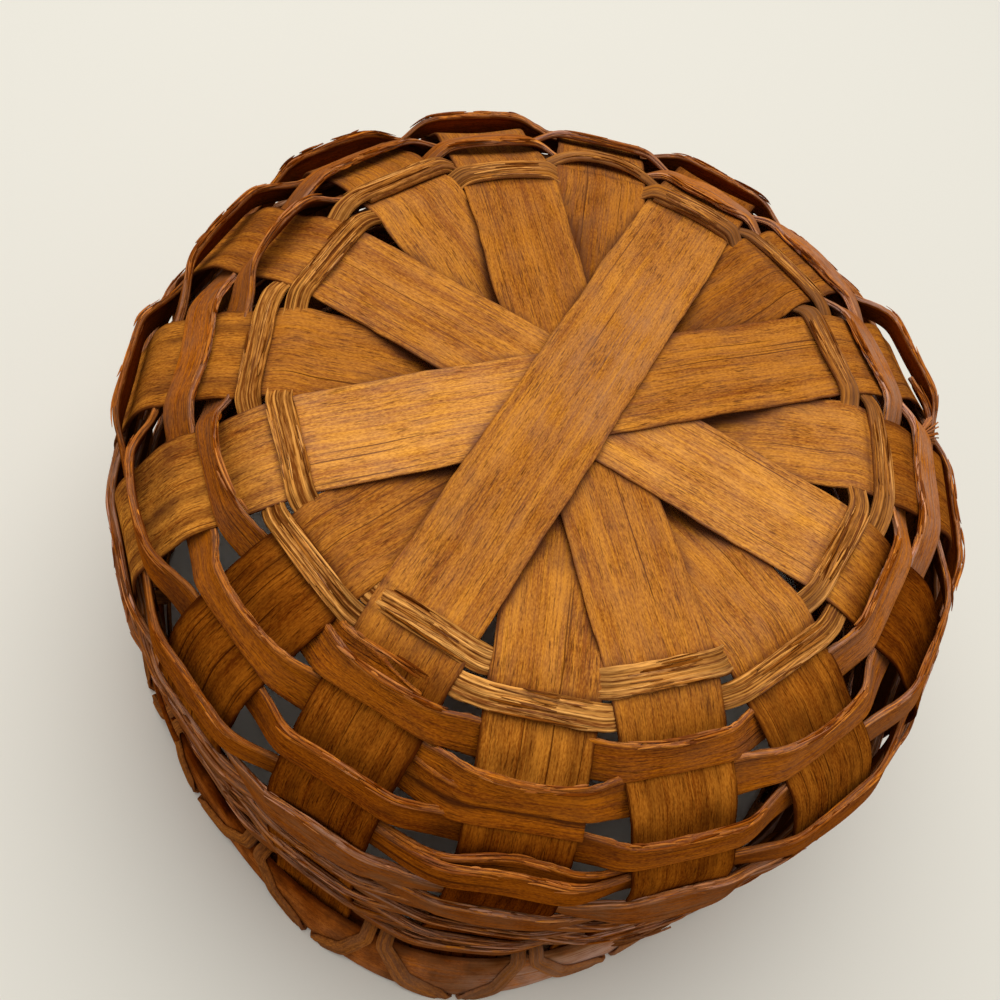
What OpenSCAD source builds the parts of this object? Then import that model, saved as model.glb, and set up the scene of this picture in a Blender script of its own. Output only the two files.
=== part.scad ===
// Round splint basket standing on its mouth. Eight flat splints cross at the base and bend down into
// sixteen wall stakes. Fourteen woven rows hold them, and two hoops and a cross lashing close the rim.
// Lengths are millimetres. The axis is Z, the rim is at Z = 0 and the outside of the base is at the top.

/* [Overall size] */
// Height from the underside of the rim lashing to the outermost base splint
height = 133; // [122:1:150]
// Distance from the axis to the middle of the upright wall stakes
wall_radius = 119; // [112:1:130]

/* [Base splints] */
// Width of each base splint and of the two stakes it becomes
stake_width = 27; // [24:0.5:30]
// Thickness of each base splint
splint_thickness = 0.85; // [0.7:0.05:1]
// How far the stacked splints stay flat past the place where they cross
stack_margin = 2.5; // [2:0.5:4]
// Length over which the stacked splints settle to the level of the base edge
settle_length = 23; // [18:1:26]
// Length over which an inner splint rises between its neighbours once they have parted
rise_length = 4.5; // [3.5:0.5:5.5]
// Side space that neighbouring stakes have where an inner splint starts to rise
part_margin = 0.5; // [0.4:0.1:1]

/* [Shoulder] */
// Slope of the shoulder below level, in degrees
shoulder_slope = 23; // [18:1:27]
// Bend radius where the shoulder turns down into the wall
shoulder_bend = 34; // [28:1:38]
// Bend radius where the flat base turns down into the shoulder
edge_bend = 30; // [24:1:34]

/* [Weave] */
// Distance from the place where neighbouring stakes part to the middle of the first row
first_row_margin = 8; // [7.5:0.5:10]
// Distance from the end of the flat base to the middle of the first row
edge_lead = 6; // [5:0.5:7]
// Width of the two rough rows at the edge of the base
base_row_width = 6.4; // [5:0.1:6.6]
// Thickness of the woven splints
weaver_thickness = 0.8; // [0.5:0.05:0.8]
// Open space between neighbouring rows
row_gap = 1; // [0.8:0.1:2]
// How far a wall row bows out over the middle of a stake
wall_bow = 3; // [0.8:0.1:3.5]
// How far a base row bows out over the middle of a stake
base_bow = 0.4; // [0.2:0.1:0.6]

/* [Rim] */
// Height of the two rim hoops
hoop_height = 14; // [10:1:18]
// Thickness of each rim hoop
hoop_thickness = 2; // [1.2:0.1:2.6]
// Length of the slanted joint where the ends of a hoop meet
scarf_length = 24; // [16:1:30]
// Width of the lashing strips
lash_width = 5; // [3:0.25:5.5]
// Thickness of the lashing strips
lash_thickness = 0.8; // [0.5:0.05:1]

/* [Fit] */
// Clear space left between pieces that bear on each other
fit = 0.15; // [0.1:0.01:0.2]
// Side space left where a row passes the edge of a stake
pass_fit = 0.2; // [0.2:0.01:0.3]

/* [Hidden] */
$fn = 160;

// Stakes stand at equal steps. Even stakes come from the outer splints, odd stakes from the inner ones.
stakes = 16;
step = 360 / stakes;
half_step = step / 2;
degree = 180 / PI;

// Layers of the crossing, counted from the level of the outer splints at the edge of the base.
layer = splint_thickness + fit;
top_rise = 2.5 * layer;
plane_z = height - splint_thickness / 2 - top_rise;
sunk_deep = layer + fit;
sunk_shallow = 2 * fit;
stack_reach = stake_width / 2 / tan(step) + stack_margin;
settle_reach = stack_reach + settle_length;
touch_reach = stake_width / 2 / tan(half_step);
part_reach = touch_reach + part_margin;
rise_end = part_reach + rise_length;
first_row_place = touch_reach + first_row_margin;

// The wall line, measured along a stake from the axis: flat base, edge bend, slope, shoulder bend, upright.
flat_end = first_row_place - edge_lead;
edge_end = flat_end + edge_bend * shoulder_slope / degree;
slope_run = wall_radius - shoulder_bend * (1 - sin(shoulder_slope)) - flat_end - edge_bend * sin(shoulder_slope);
slope_end = edge_end + slope_run / cos(shoulder_slope);
bend_end = slope_end + shoulder_bend * (90 - shoulder_slope) / degree;
edge_drop = edge_bend * (1 - cos(shoulder_slope));
slope_drop = edge_drop + slope_run * tan(shoulder_slope);
bend_drop = slope_drop + shoulder_bend * cos(shoulder_slope);

// Rim heights.
rim_low = lash_thickness + fit;
rim_high = rim_low + hoop_height;
lash_top = rim_high + fit + lash_thickness;
stake_end = bend_end + plane_z - bend_drop - rim_low;

// Row places along the wall line.
wall_rows = 12;
second_row_place = first_row_place + base_row_width + row_gap;
wall_rows_start = second_row_place + base_row_width / 2 + 2 * row_gap;
wall_rows_end = bend_end + plane_z - bend_drop - lash_top - row_gap;
row_pitch = (wall_rows_end - wall_rows_start) / wall_rows;
wall_row_width = row_pitch - row_gap;

// Stakes on which the ends of each row lap over each other, base rows first.
lap_stakes = [4, 7, 12, 13, 2, 13, 6, 11, 10, 5, 14, 9, 6, 1];

// Downward tilt, radius and drop of the wall line at distance s from the axis.
function tilt(s) =
    s < flat_end ? 0
    : s < edge_end ? (s - flat_end) / edge_bend * degree
    : s < slope_end ? shoulder_slope
    : s < bend_end ? shoulder_slope + (s - slope_end) / shoulder_bend * degree
    : 90;

function reach(s) =
    s < flat_end ? s
    : s < edge_end ? flat_end + edge_bend * sin(tilt(s))
    : s < slope_end ? flat_end + edge_bend * sin(shoulder_slope) + (s - edge_end) * cos(shoulder_slope)
    : s < bend_end ? wall_radius - shoulder_bend * (1 - sin(tilt(s)))
    : wall_radius;

function drop(s) =
    s < flat_end ? 0
    : s < edge_end ? edge_bend * (1 - cos(tilt(s)))
    : s < slope_end ? edge_drop + (s - edge_end) * sin(shoulder_slope)
    : s < bend_end ? slope_drop + shoulder_bend * (cos(shoulder_slope) - cos(tilt(s)))
    : bend_drop + s - bend_end;

// Radius and height of a point at distance s along the wall line and v outside it.
function spot(s, v) = [reach(s) + v * sin(tilt(s)), plane_z - drop(s) + v * cos(tilt(s))];

// How far the inner splints lie inside the outer ones. They come level once the stakes have parted.
function blend(x, x0, x1, y0, y1) = y0 + (y1 - y0) * min(1, max(0, (x - x0) / (x1 - x0)));

function sunk(s) =
    s < rise_end
    ? blend(s, part_reach, rise_end, sunk_deep, sunk_shallow)
    : blend(s, rise_end, slope_end, sunk_shallow, 0);

// A flat strip of thickness t whose middle follows a path, with mitred bends.
function way(p, q) = (q - p) / norm(q - p);

function mitre(path, i) =
    let (
        last = len(path) - 1,
        a = i > 0 ? way(path[i - 1], path[i]) : way(path[0], path[1]),
        b = i < last ? way(path[i], path[i + 1]) : a,
        n = [-(a + b)[1], (a + b)[0]] / norm(a + b)
    )
    n / (n * [-a[1], a[0]]);

function one_side(path, v) = [for (i = [0 : len(path) - 1]) path[i] + mitre(path, i) * v];

function reversed(list) = [for (i = [len(list) - 1 : -1 : 0]) list[i]];

function band(path, t) = concat(one_side(path, t / 2), reversed(one_side(path, -t / 2)));

// Places along the wall line, in order and without repeats.
function in_order(list) =
    len(list) < 2 ? list
    : concat(
        in_order([for (x = list) if (x < list[0]) x]),
        [list[0]],
        in_order([for (x = list) if (x > list[0]) x])
    );

// One half of a base splint, from the axis to the rim. The rise is its place in the stack at the middle.
function half_path(rise, inner) =
    let (
        rest = inner ? -sunk_deep : 0,
        bends = in_order(concat(
            inner ? [part_reach, rise_end] : [],
            [for (i = [0 : 3]) flat_end + (edge_end - flat_end) * i / 3],
            [for (i = [0 : 10]) slope_end + (bend_end - slope_end) * i / 10],
            [stake_end]
        ))
    )
    concat(
        [[0, plane_z + rise], [stack_reach, plane_z + rise], [settle_reach, plane_z + rest]],
        [for (s = bends) spot(s, inner ? -sunk(s) : 0)]
    );

module splint(angle, rise, inner) {
    half = half_path(rise, inner);
    other = [for (i = [len(half) - 1 : -1 : 1]) [-half[i][0], half[i][1]]];
    rotate([0, 0, angle])
        rotate([90, 0, 0])
            linear_extrude(height = stake_width, center = true)
                polygon(band(concat(other, half), splint_thickness));
}

module outer_splint(k) {
    color([0.72, 0.44, 0.17])
        splint(90 - 2 * step * k, top_rise - k * layer, false);
}

module inner_splint(k) {
    color([0.64, 0.37, 0.14])
        splint(90 + step - 2 * step * k, -(2.4 + k) * layer, true);
}

// Angle from the middle of a stake at which a row has passed its edge.
function pass_angle(s, w) = atan((stake_width / 2 + pass_fit) / (reach(s) - w / 2 * cos(tilt(s))));

// Distance of a row outside the wall line at pass j, counted from the stake where its ends lap.
// The two layers of the lap lie beside each other on three neighbouring stakes.
function pass_level(s, w, parity, j) =
    let (
        bear = splint_thickness / 2 + fit + weaver_thickness / 2,
        double = weaver_thickness + fit,
        flat_error = w * w / 8 / min(edge_bend, shoulder_bend),
        over = j % 2 == 0,
        out = bear - (parity == 0 ? 0 : sunk(s + w / 2)),
        in = -bear - flat_error - (parity == 0 ? sunk(s - w / 2) : 0)
    )
    over ? out + (j == 16 ? double : 0) : in - (j == -1 || j == 1 ? double : 0);

// Turn angle and level of the points of one row, from the first lapped end to the last one.
function row_path(s, w, parity, lap, bow) =
    let (edge = pass_angle(s, w), run = reach(s) / degree)
    [
        for (j = [-1 : 17])
            let (
                level = pass_level(s, w, parity, j),
                shares = j == -1 ? [0, 1] : j == 17 ? [-1, 0] : j % 2 == 0 ? [-1, -0.5, 0, 0.5, 1] : [-1, 1]
            )
            for (f = shares)
                [((lap + j) * step + f * edge) * run, level + (j % 2 == 0 ? bow * (1 - f * f) : 0)]
    ];

// Radius at a turn angle for a line that runs flat along each stake and straight between stakes.
function flat_factor(angle, edge) =
    let (off = abs(angle - step * round(angle / step)))
    off <= edge ? 1 / cos(off) : cos(half_step - edge) / (cos(edge) * cos(half_step - off));

// A row on the sloping part: a swept strip with square ends.
module sloped_row(s, w, parity, lap, bow) {
    path = row_path(s, w, parity, lap, bow);
    run = reach(s) / degree;
    edge = pass_angle(s, w);
    out = one_side(path, -weaver_thickness / 2);
    in = one_side(path, weaver_thickness / 2);
    function place(q, e) =
        let (
            angle = q[0] / run,
            r = (reach(s) + q[1] * sin(tilt(s)) + e * cos(tilt(s))) * flat_factor(angle, edge),
            z = plane_z - drop(s) + q[1] * cos(tilt(s)) - e * sin(tilt(s))
        )
        [r * cos(angle), r * sin(angle), z];
    points = [
        for (i = [0 : len(path) - 1])
            each [place(out[i], -w / 2), place(out[i], w / 2), place(in[i], w / 2), place(in[i], -w / 2)]
    ];
    last = 4 * (len(path) - 1);
    faces = concat(
        [[2, 1, 0], [3, 2, 0], [last, last + 1, last + 2], [last, last + 2, last + 3]],
        [
            for (i = [0 : len(path) - 2])
                for (k = [0 : 3])
                    let (a = 4 * i + k, b = 4 * i + (k + 1) % 4)
                    each [[a, b, a + 4], [b, b + 4, a + 4]]
        ]
    );
    polyhedron(points = points, faces = faces, convexity = 10);
}

// A row on the upright wall: one closed outline raised to the width of the row.
module upright_row(s, w, parity, lap, bow) {
    path = row_path(s, w, parity, lap, bow);
    run = reach(s) / degree;
    edge = pass_angle(s, w);
    function place(q) =
        let (angle = q[0] / run, r = (wall_radius + q[1]) * flat_factor(angle, edge))
        [r * cos(angle), r * sin(angle)];
    translate([0, 0, plane_z - drop(s) - w / 2])
        linear_extrude(height = w)
            polygon([for (q = band(path, weaver_thickness)) place(q)]);
}

module base_row(k) {
    s = k == 0 ? first_row_place : second_row_place;
    color([0.62, 0.46, 0.24])
        sloped_row(s, base_row_width, k, lap_stakes[k], base_bow);
}

module wall_row(k) {
    s = wall_rows_start + (k + 0.5) * row_pitch;
    color([0.60, 0.36, 0.19])
        if (s - wall_row_width / 2 < bend_end - 2 * row_gap)
            sloped_row(s, wall_row_width, k % 2, lap_stakes[k + 2], wall_bow);
        else
            upright_row(s, wall_row_width, k % 2, lap_stakes[k + 2], wall_bow);
}

// Rim hoops: flat bands inside and outside the stake ends, each open at a slanted joint.
outer_hoop_radius = norm([wall_radius + splint_thickness / 2, stake_width / 2]) + fit;
inner_hoop_radius = wall_radius - splint_thickness / 2 - fit - hoop_thickness;

module hoop(radius, joint_angle) {
    slant = atan(hoop_thickness / scarf_length);
    color([0.58, 0.32, 0.16])
        difference() {
            translate([0, 0, rim_low])
                rotate_extrude()
                    translate([radius, 0])
                        square([hoop_thickness, hoop_height]);
            rotate([0, 0, joint_angle])
                translate([radius + hoop_thickness / 2, 0, rim_low + hoop_height / 2])
                    rotate([0, 0, 90 - slant])
                        cube([1.6 * scarf_length, 2 * fit, hoop_height + 1], center = true);
        }
}

// Rim lashing: a strip wound round both hoops once for each stake, through the gaps between the stakes.
// A second strip goes round the other way, side by side at the edges and crossing inside the rim.
module lashing(side, deep) {
    half_lash = lash_thickness / 2;
    out_r = outer_hoop_radius + hoop_thickness + fit + half_lash;
    in_r = inner_hoop_radius - fit - half_lash - deep * (lash_thickness + fit);
    low_z = half_lash;
    high_z = lash_top - half_lash;
    shift = (lash_width / 2 + 2 * fit) / (in_r - lash_thickness) * degree;
    sections = [
        for (i = [0 : stakes - 1])
            let (
                top = i * step + half_step + shift,
                low = (i + 1) * step - shift,
                next = top + step
            )
            each [
                [top, out_r, high_z, 1, 1],
                [top + (low - top) / 3, out_r, high_z + (low_z - high_z) / 3, 1, 0],
                [top + (low - top) * 2 / 3, out_r, high_z + (low_z - high_z) * 2 / 3, 1, 0],
                [low, out_r, low_z, 1, -1],
                [low, in_r, low_z, -1, -1],
                [low + (next - low) / 3, in_r, low_z + (high_z - low_z) / 3, -1, 0],
                [low + (next - low) * 2 / 3, in_r, low_z + (high_z - low_z) * 2 / 3, -1, 0],
                [next, in_r, high_z, -1, 1]
            ]
    ];
    function corner(q, across, out) =
        let (r = q[1] + out * half_lash * q[3], z = q[2] + out * half_lash * q[4])
        [
            r * cos(q[0]) - across * lash_width / 2 * sin(q[0]),
            side * (r * sin(q[0]) + across * lash_width / 2 * cos(q[0])),
            z
        ];
    count = len(sections);
    points = [
        for (q = sections)
            each [corner(q, -1, 1), corner(q, 1, 1), corner(q, 1, -1), corner(q, -1, -1)]
    ];
    faces = [
        for (i = [0 : count - 1])
            for (k = [0 : 3])
                let (
                    j = (i + 1) % count,
                    a = 4 * i + k,
                    b = 4 * i + (k + 1) % 4,
                    c = 4 * j + k,
                    d = 4 * j + (k + 1) % 4
                )
                each side > 0 ? [[a, b, c], [b, d, c]] : [[a, c, b], [b, c, d]]
    ];
    color([0.66, 0.47, 0.26])
        polyhedron(points = points, faces = faces, convexity = 10);
}

outer_splint(0);  // splint_outer_1
outer_splint(1);  // splint_outer_2
outer_splint(2);  // splint_outer_3
outer_splint(3);  // splint_outer_4
inner_splint(0);  // splint_inner_1
inner_splint(1);  // splint_inner_2
inner_splint(2);  // splint_inner_3
inner_splint(3);  // splint_inner_4
base_row(0);  // base_row_1
base_row(1);  // base_row_2
wall_row(0);  // wall_row_01
wall_row(1);  // wall_row_02
wall_row(2);  // wall_row_03
wall_row(3);  // wall_row_04
wall_row(4);  // wall_row_05
wall_row(5);  // wall_row_06
wall_row(6);  // wall_row_07
wall_row(7);  // wall_row_08
wall_row(8);  // wall_row_09
wall_row(9);  // wall_row_10
wall_row(10);  // wall_row_11
wall_row(11);  // wall_row_12
hoop(outer_hoop_radius, 200);  // rim_hoop_outer
hoop(inner_hoop_radius, 20);  // rim_hoop_inner
lashing(1, 0);  // rim_lashing_forward
lashing(-1, 1);  // rim_lashing_back
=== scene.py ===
import math

import bpy
import numpy as np
from mathutils import Matrix, Vector


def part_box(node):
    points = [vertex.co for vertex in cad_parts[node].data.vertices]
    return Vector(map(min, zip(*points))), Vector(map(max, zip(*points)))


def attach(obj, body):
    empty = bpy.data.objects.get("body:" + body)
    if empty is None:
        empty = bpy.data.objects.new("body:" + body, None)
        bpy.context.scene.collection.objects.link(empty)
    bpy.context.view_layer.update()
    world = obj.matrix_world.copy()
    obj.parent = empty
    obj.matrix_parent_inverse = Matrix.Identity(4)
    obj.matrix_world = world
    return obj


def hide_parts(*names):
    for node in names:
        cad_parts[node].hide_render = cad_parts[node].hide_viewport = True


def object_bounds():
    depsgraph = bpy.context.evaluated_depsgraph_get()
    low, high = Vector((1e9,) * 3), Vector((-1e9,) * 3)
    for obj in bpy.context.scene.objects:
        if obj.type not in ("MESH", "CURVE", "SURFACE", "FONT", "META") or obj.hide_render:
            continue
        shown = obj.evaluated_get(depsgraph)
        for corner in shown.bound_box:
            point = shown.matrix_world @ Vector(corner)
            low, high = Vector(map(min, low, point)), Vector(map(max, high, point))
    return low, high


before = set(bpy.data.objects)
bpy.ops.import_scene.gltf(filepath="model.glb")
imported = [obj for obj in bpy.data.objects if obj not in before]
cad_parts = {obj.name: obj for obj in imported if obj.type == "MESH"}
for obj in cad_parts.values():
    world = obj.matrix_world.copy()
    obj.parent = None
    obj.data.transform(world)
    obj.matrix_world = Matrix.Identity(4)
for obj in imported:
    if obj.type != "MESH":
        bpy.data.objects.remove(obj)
cad_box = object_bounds()

# Base splints: eight flat bands of split wood that cross at the middle of the base in two layers of four.
# At the edge of the base they bend down over a shoulder and become the sixteen wall stakes.
# They are held by nothing but the woven rows, so each lies a little turned and shifted from its even place.

MM = 0.001
STAKES = 16
STAKE_STEP = math.radians(22.5)
STAKE_WIDTH = 27.0
SPLINT_THICKNESS = 0.85
CLEARANCE = 0.15
LAYER = SPLINT_THICKNESS + CLEARANCE
LAYER_SPLINTS = 4
# How many layers the first outer splint lies outside the wall line at the crossing,
# and the first inner splint inside it
OUTER_LEVEL = 2.5
INNER_LEVEL = 2.4

# The wall line, measured in millimetres along a stake from the middle of the base
BASE_TOP = cad_box[1].z / MM
PLANE_Z = BASE_TOP - SPLINT_THICKNESS / 2 - OUTER_LEVEL * LAYER
WALL_RADIUS = 119.0
FIRST_ROW = 75.87
FLAT_END = 69.87
EDGE_BEND = 30.0
SHOULDER_SLOPE = math.radians(23)
SHOULDER_BEND = 34.0
SLOPE_END = 100.05
LINE_STEP = 0.05
LINE_LENGTH = 260


def tilt(s):
    """Slope of the wall line: level on the base, a shallow shoulder, then upright."""
    edge = np.clip((s - FLAT_END) / EDGE_BEND, 0, SHOULDER_SLOPE)
    bend = np.clip((s - SLOPE_END) / SHOULDER_BEND, 0, math.pi / 2 - SHOULDER_SLOPE)
    return edge + bend


LINE = np.arange(0, LINE_LENGTH, LINE_STEP)
LINE_TILT = tilt(LINE + LINE_STEP / 2)
LINE_REACH = np.concatenate([[0], np.cumsum(np.cos(LINE_TILT))[:-1]]) * LINE_STEP
LINE_DROP = np.concatenate([[0], np.cumsum(np.sin(LINE_TILT))[:-1]]) * LINE_STEP


def reach(s):
    """Distance of the wall line from the axis."""
    return np.interp(s, LINE, LINE_REACH)


def drop(s):
    """Distance of the wall line below its level on the base."""
    return np.interp(s, LINE, LINE_DROP)


def ease(x):
    """A smooth step from 0 to 1."""
    x = np.clip(x, 0, 1)
    return x * x * (3 - 2 * x)


def bell(x, middle, spread):
    return np.exp(-0.5 * ((x - middle) / spread) ** 2)


def hump(angle, middle, spread):
    """A bell over the angle round the basket."""
    off = (angle - middle + math.pi) % (2 * math.pi) - math.pi
    return np.exp(-0.5 * (off / spread) ** 2)


WANDER_KNOTS = (97, 89)


def wander(along, across, seed):
    """Smooth random values from -1 to 1, with one free value for each unit of along and of across."""
    rows, columns = WANDER_KNOTS
    knots = np.random.default_rng(seed).uniform(-1, 1, WANDER_KNOTS)
    along, across = np.broadcast_arrays(np.asarray(along, float), np.asarray(across, float))
    i = np.floor(along).astype(int)
    j = np.floor(across).astype(int)
    f = ease(along - i)
    g = ease(across - j)
    near = knots[i % rows, j % columns] * (1 - f) + knots[(i + 1) % rows, j % columns] * f
    far = knots[i % rows, (j + 1) % columns] * (1 - f) + knots[(i + 1) % rows, (j + 1) % columns] * f
    return near * (1 - g) + far * g


def uneven(kind, along, across):
    """Random unevenness of one kind, given as its size, the length over which it changes and its seed."""
    size, length, seed = kind
    return size * wander(along / length, across, seed)


# The whole basket leans a little, by this much from base to rim. Its wall draws in above the rim and its
# mouth flares out again. Both are out of round, drawn in over some stretches and swollen over others.
LEAN = np.array([5.1, -6.1])
RIM_FLARE = 1.4
RIM_FLARE_TOP = 16.0
WAIST = 1.5
WAIST_Z = 26.0
WAIST_SPREAD = 16.0
# Angle and spread in degrees, swell in millimetres, height at which it starts and depth by which it is full
SWELLS = [
    (-115, 22, -6.2, 130, 130),
    (-70, 16, 5.6, 18, 18),
    (-38, 18, -5.2, 75, 60),
    (-2, 24, -5.0, 112, 35),
    (-21, 9, 2.8, 115, 20),
]


def out_of_true(x, y, z):
    """Points of the leaning basket as it is, from points of an even and round one."""
    depth = np.clip((PLANE_Z - z) / PLANE_Z, 0, 1)
    angle = np.arctan2(y, x)
    radius = np.hypot(x, y)
    swell = RIM_FLARE * ease((RIM_FLARE_TOP - z) / RIM_FLARE_TOP) - WAIST * bell(z, WAIST_Z, WAIST_SPREAD)
    for middle, width, amount, top, run in SWELLS:
        here = hump(angle, math.radians(middle), math.radians(width))
        swell = swell + amount * here * ease((top - z) / run)
    share = 1 + swell / np.maximum(radius, 1)
    lean = depth - 0.5
    return np.stack([x * share + LEAN[0] * lean, y * share + LEAN[1] * lean, z], -1)


# Thickness of a strip at its rounded edges, as a share of its full thickness
EDGE_HEIGHT = 0.5


def strip_section(count, rounding):
    """Across position and height, both from -1 to 1, round the section of a flat strip, outer face first."""
    across = -np.cos(np.linspace(0, math.pi, count))
    past = np.clip((np.abs(across) - 1 + rounding) / rounding, 0, 1)
    height = 1 - (1 - EDGE_HEIGHT) * past ** 2
    return np.concatenate([across, across[::-1]]), np.concatenate([height, -height[::-1]])


def near_edges(side, share):
    """1 at both edges of a strip, falling to 0 over a share of half its width."""
    return ease((np.abs(side) - 1 + share) / share)


def layered(*values):
    """The values that each vertex of a strip carries, side by side."""
    return np.stack(np.broadcast_arrays(*values), -1)


# Vertex values of a strip: place in the strip's own list, name, kind of attribute and field that holds them
VERTEX_VALUES = [(1, "grain", "FLOAT_VECTOR", "vector"), (2, "marks", "FLOAT_COLOR", "color")]


def strip_object(name, strips, material):
    """A piece of one or more closed strips. Each has a grid of points, with one row for each place along the
    strip and one column round its section, and its grain and marks."""
    points, faces, start = [], [], 0
    for grid, grain, marks in strips:
        rows, columns = grid.shape[:2]
        i = start + np.arange(rows - 1)[:, None] * columns
        k = np.arange(columns)[None, :]
        after = (k + 1) % columns
        quads = np.stack([i + k, i + after, i + columns + after, i + columns + k], -1).reshape(-1, 4)
        flat = grid.reshape(-1, 3)
        a, b, c, d = (flat[quads[:, n] - start] - flat.mean(0) for n in range(4))
        inside_out = (a * (np.cross(b, c) + np.cross(c, d))).sum() < 0
        ends = [list(range(start, start + columns))[::-1]]
        start += rows * columns
        ends.append(list(range(start - columns, start)))
        order = -1 if inside_out else 1
        faces += [face[::order] for face in quads.tolist() + ends]
        points.append(flat * MM)
    mesh = bpy.data.meshes.new(name)
    mesh.from_pydata(np.concatenate(points).tolist(), [], faces)
    for number, label, kind, field in VERTEX_VALUES:
        layer = mesh.attributes.new(label, kind, "POINT")
        values = np.concatenate([strip[number].reshape(-1) for strip in strips])
        layer.data.foreach_set(field, values.astype(np.float32))
    mesh.polygons.foreach_set("use_smooth", [True] * len(mesh.polygons))
    mesh.materials.append(material)
    mesh.update()
    piece = bpy.data.objects.new(name, mesh)
    bpy.context.scene.collection.objects.link(piece)
    return piece


def fasten(piece, node):
    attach(piece, "root")
    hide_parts(node)


def linear(red, green, blue):
    """Linear colour from display values of 0 to 255."""
    return tuple(((c / 255 + 0.055) / 1.055) ** 2.4 for c in (red, green, blue)) + (1,)


def add_node(tree, kind, inputs, **settings):
    node = tree.nodes.new(kind)
    for key, value in settings.items():
        setattr(node, key, value)
    for key, value in inputs.items():
        if isinstance(value, bpy.types.NodeSocket):
            tree.links.new(value, node.inputs[key])
        else:
            node.inputs[key].default_value = value
    return node


def maths(tree, operation, a, b):
    return add_node(tree, "ShaderNodeMath", {0: a, 1: b}, operation=operation).outputs[0]


def scaled(tree, value, times, plus):
    node = add_node(tree, "ShaderNodeMath", {0: value, 1: times, 2: plus}, operation="MULTIPLY_ADD")
    return node.outputs[0]


def spread(tree, value, low, high):
    node = add_node(tree, "ShaderNodeMapRange", {"Value": value, "From Min": low, "From Max": high})
    return node.outputs["Result"]


def mixed(tree, share, a, b, blend_type="MIX"):
    node = add_node(tree, "ShaderNodeMix", {0: share, 6: a, 7: b}, data_type="RGBA", blend_type=blend_type)
    return node.outputs[2]


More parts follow.
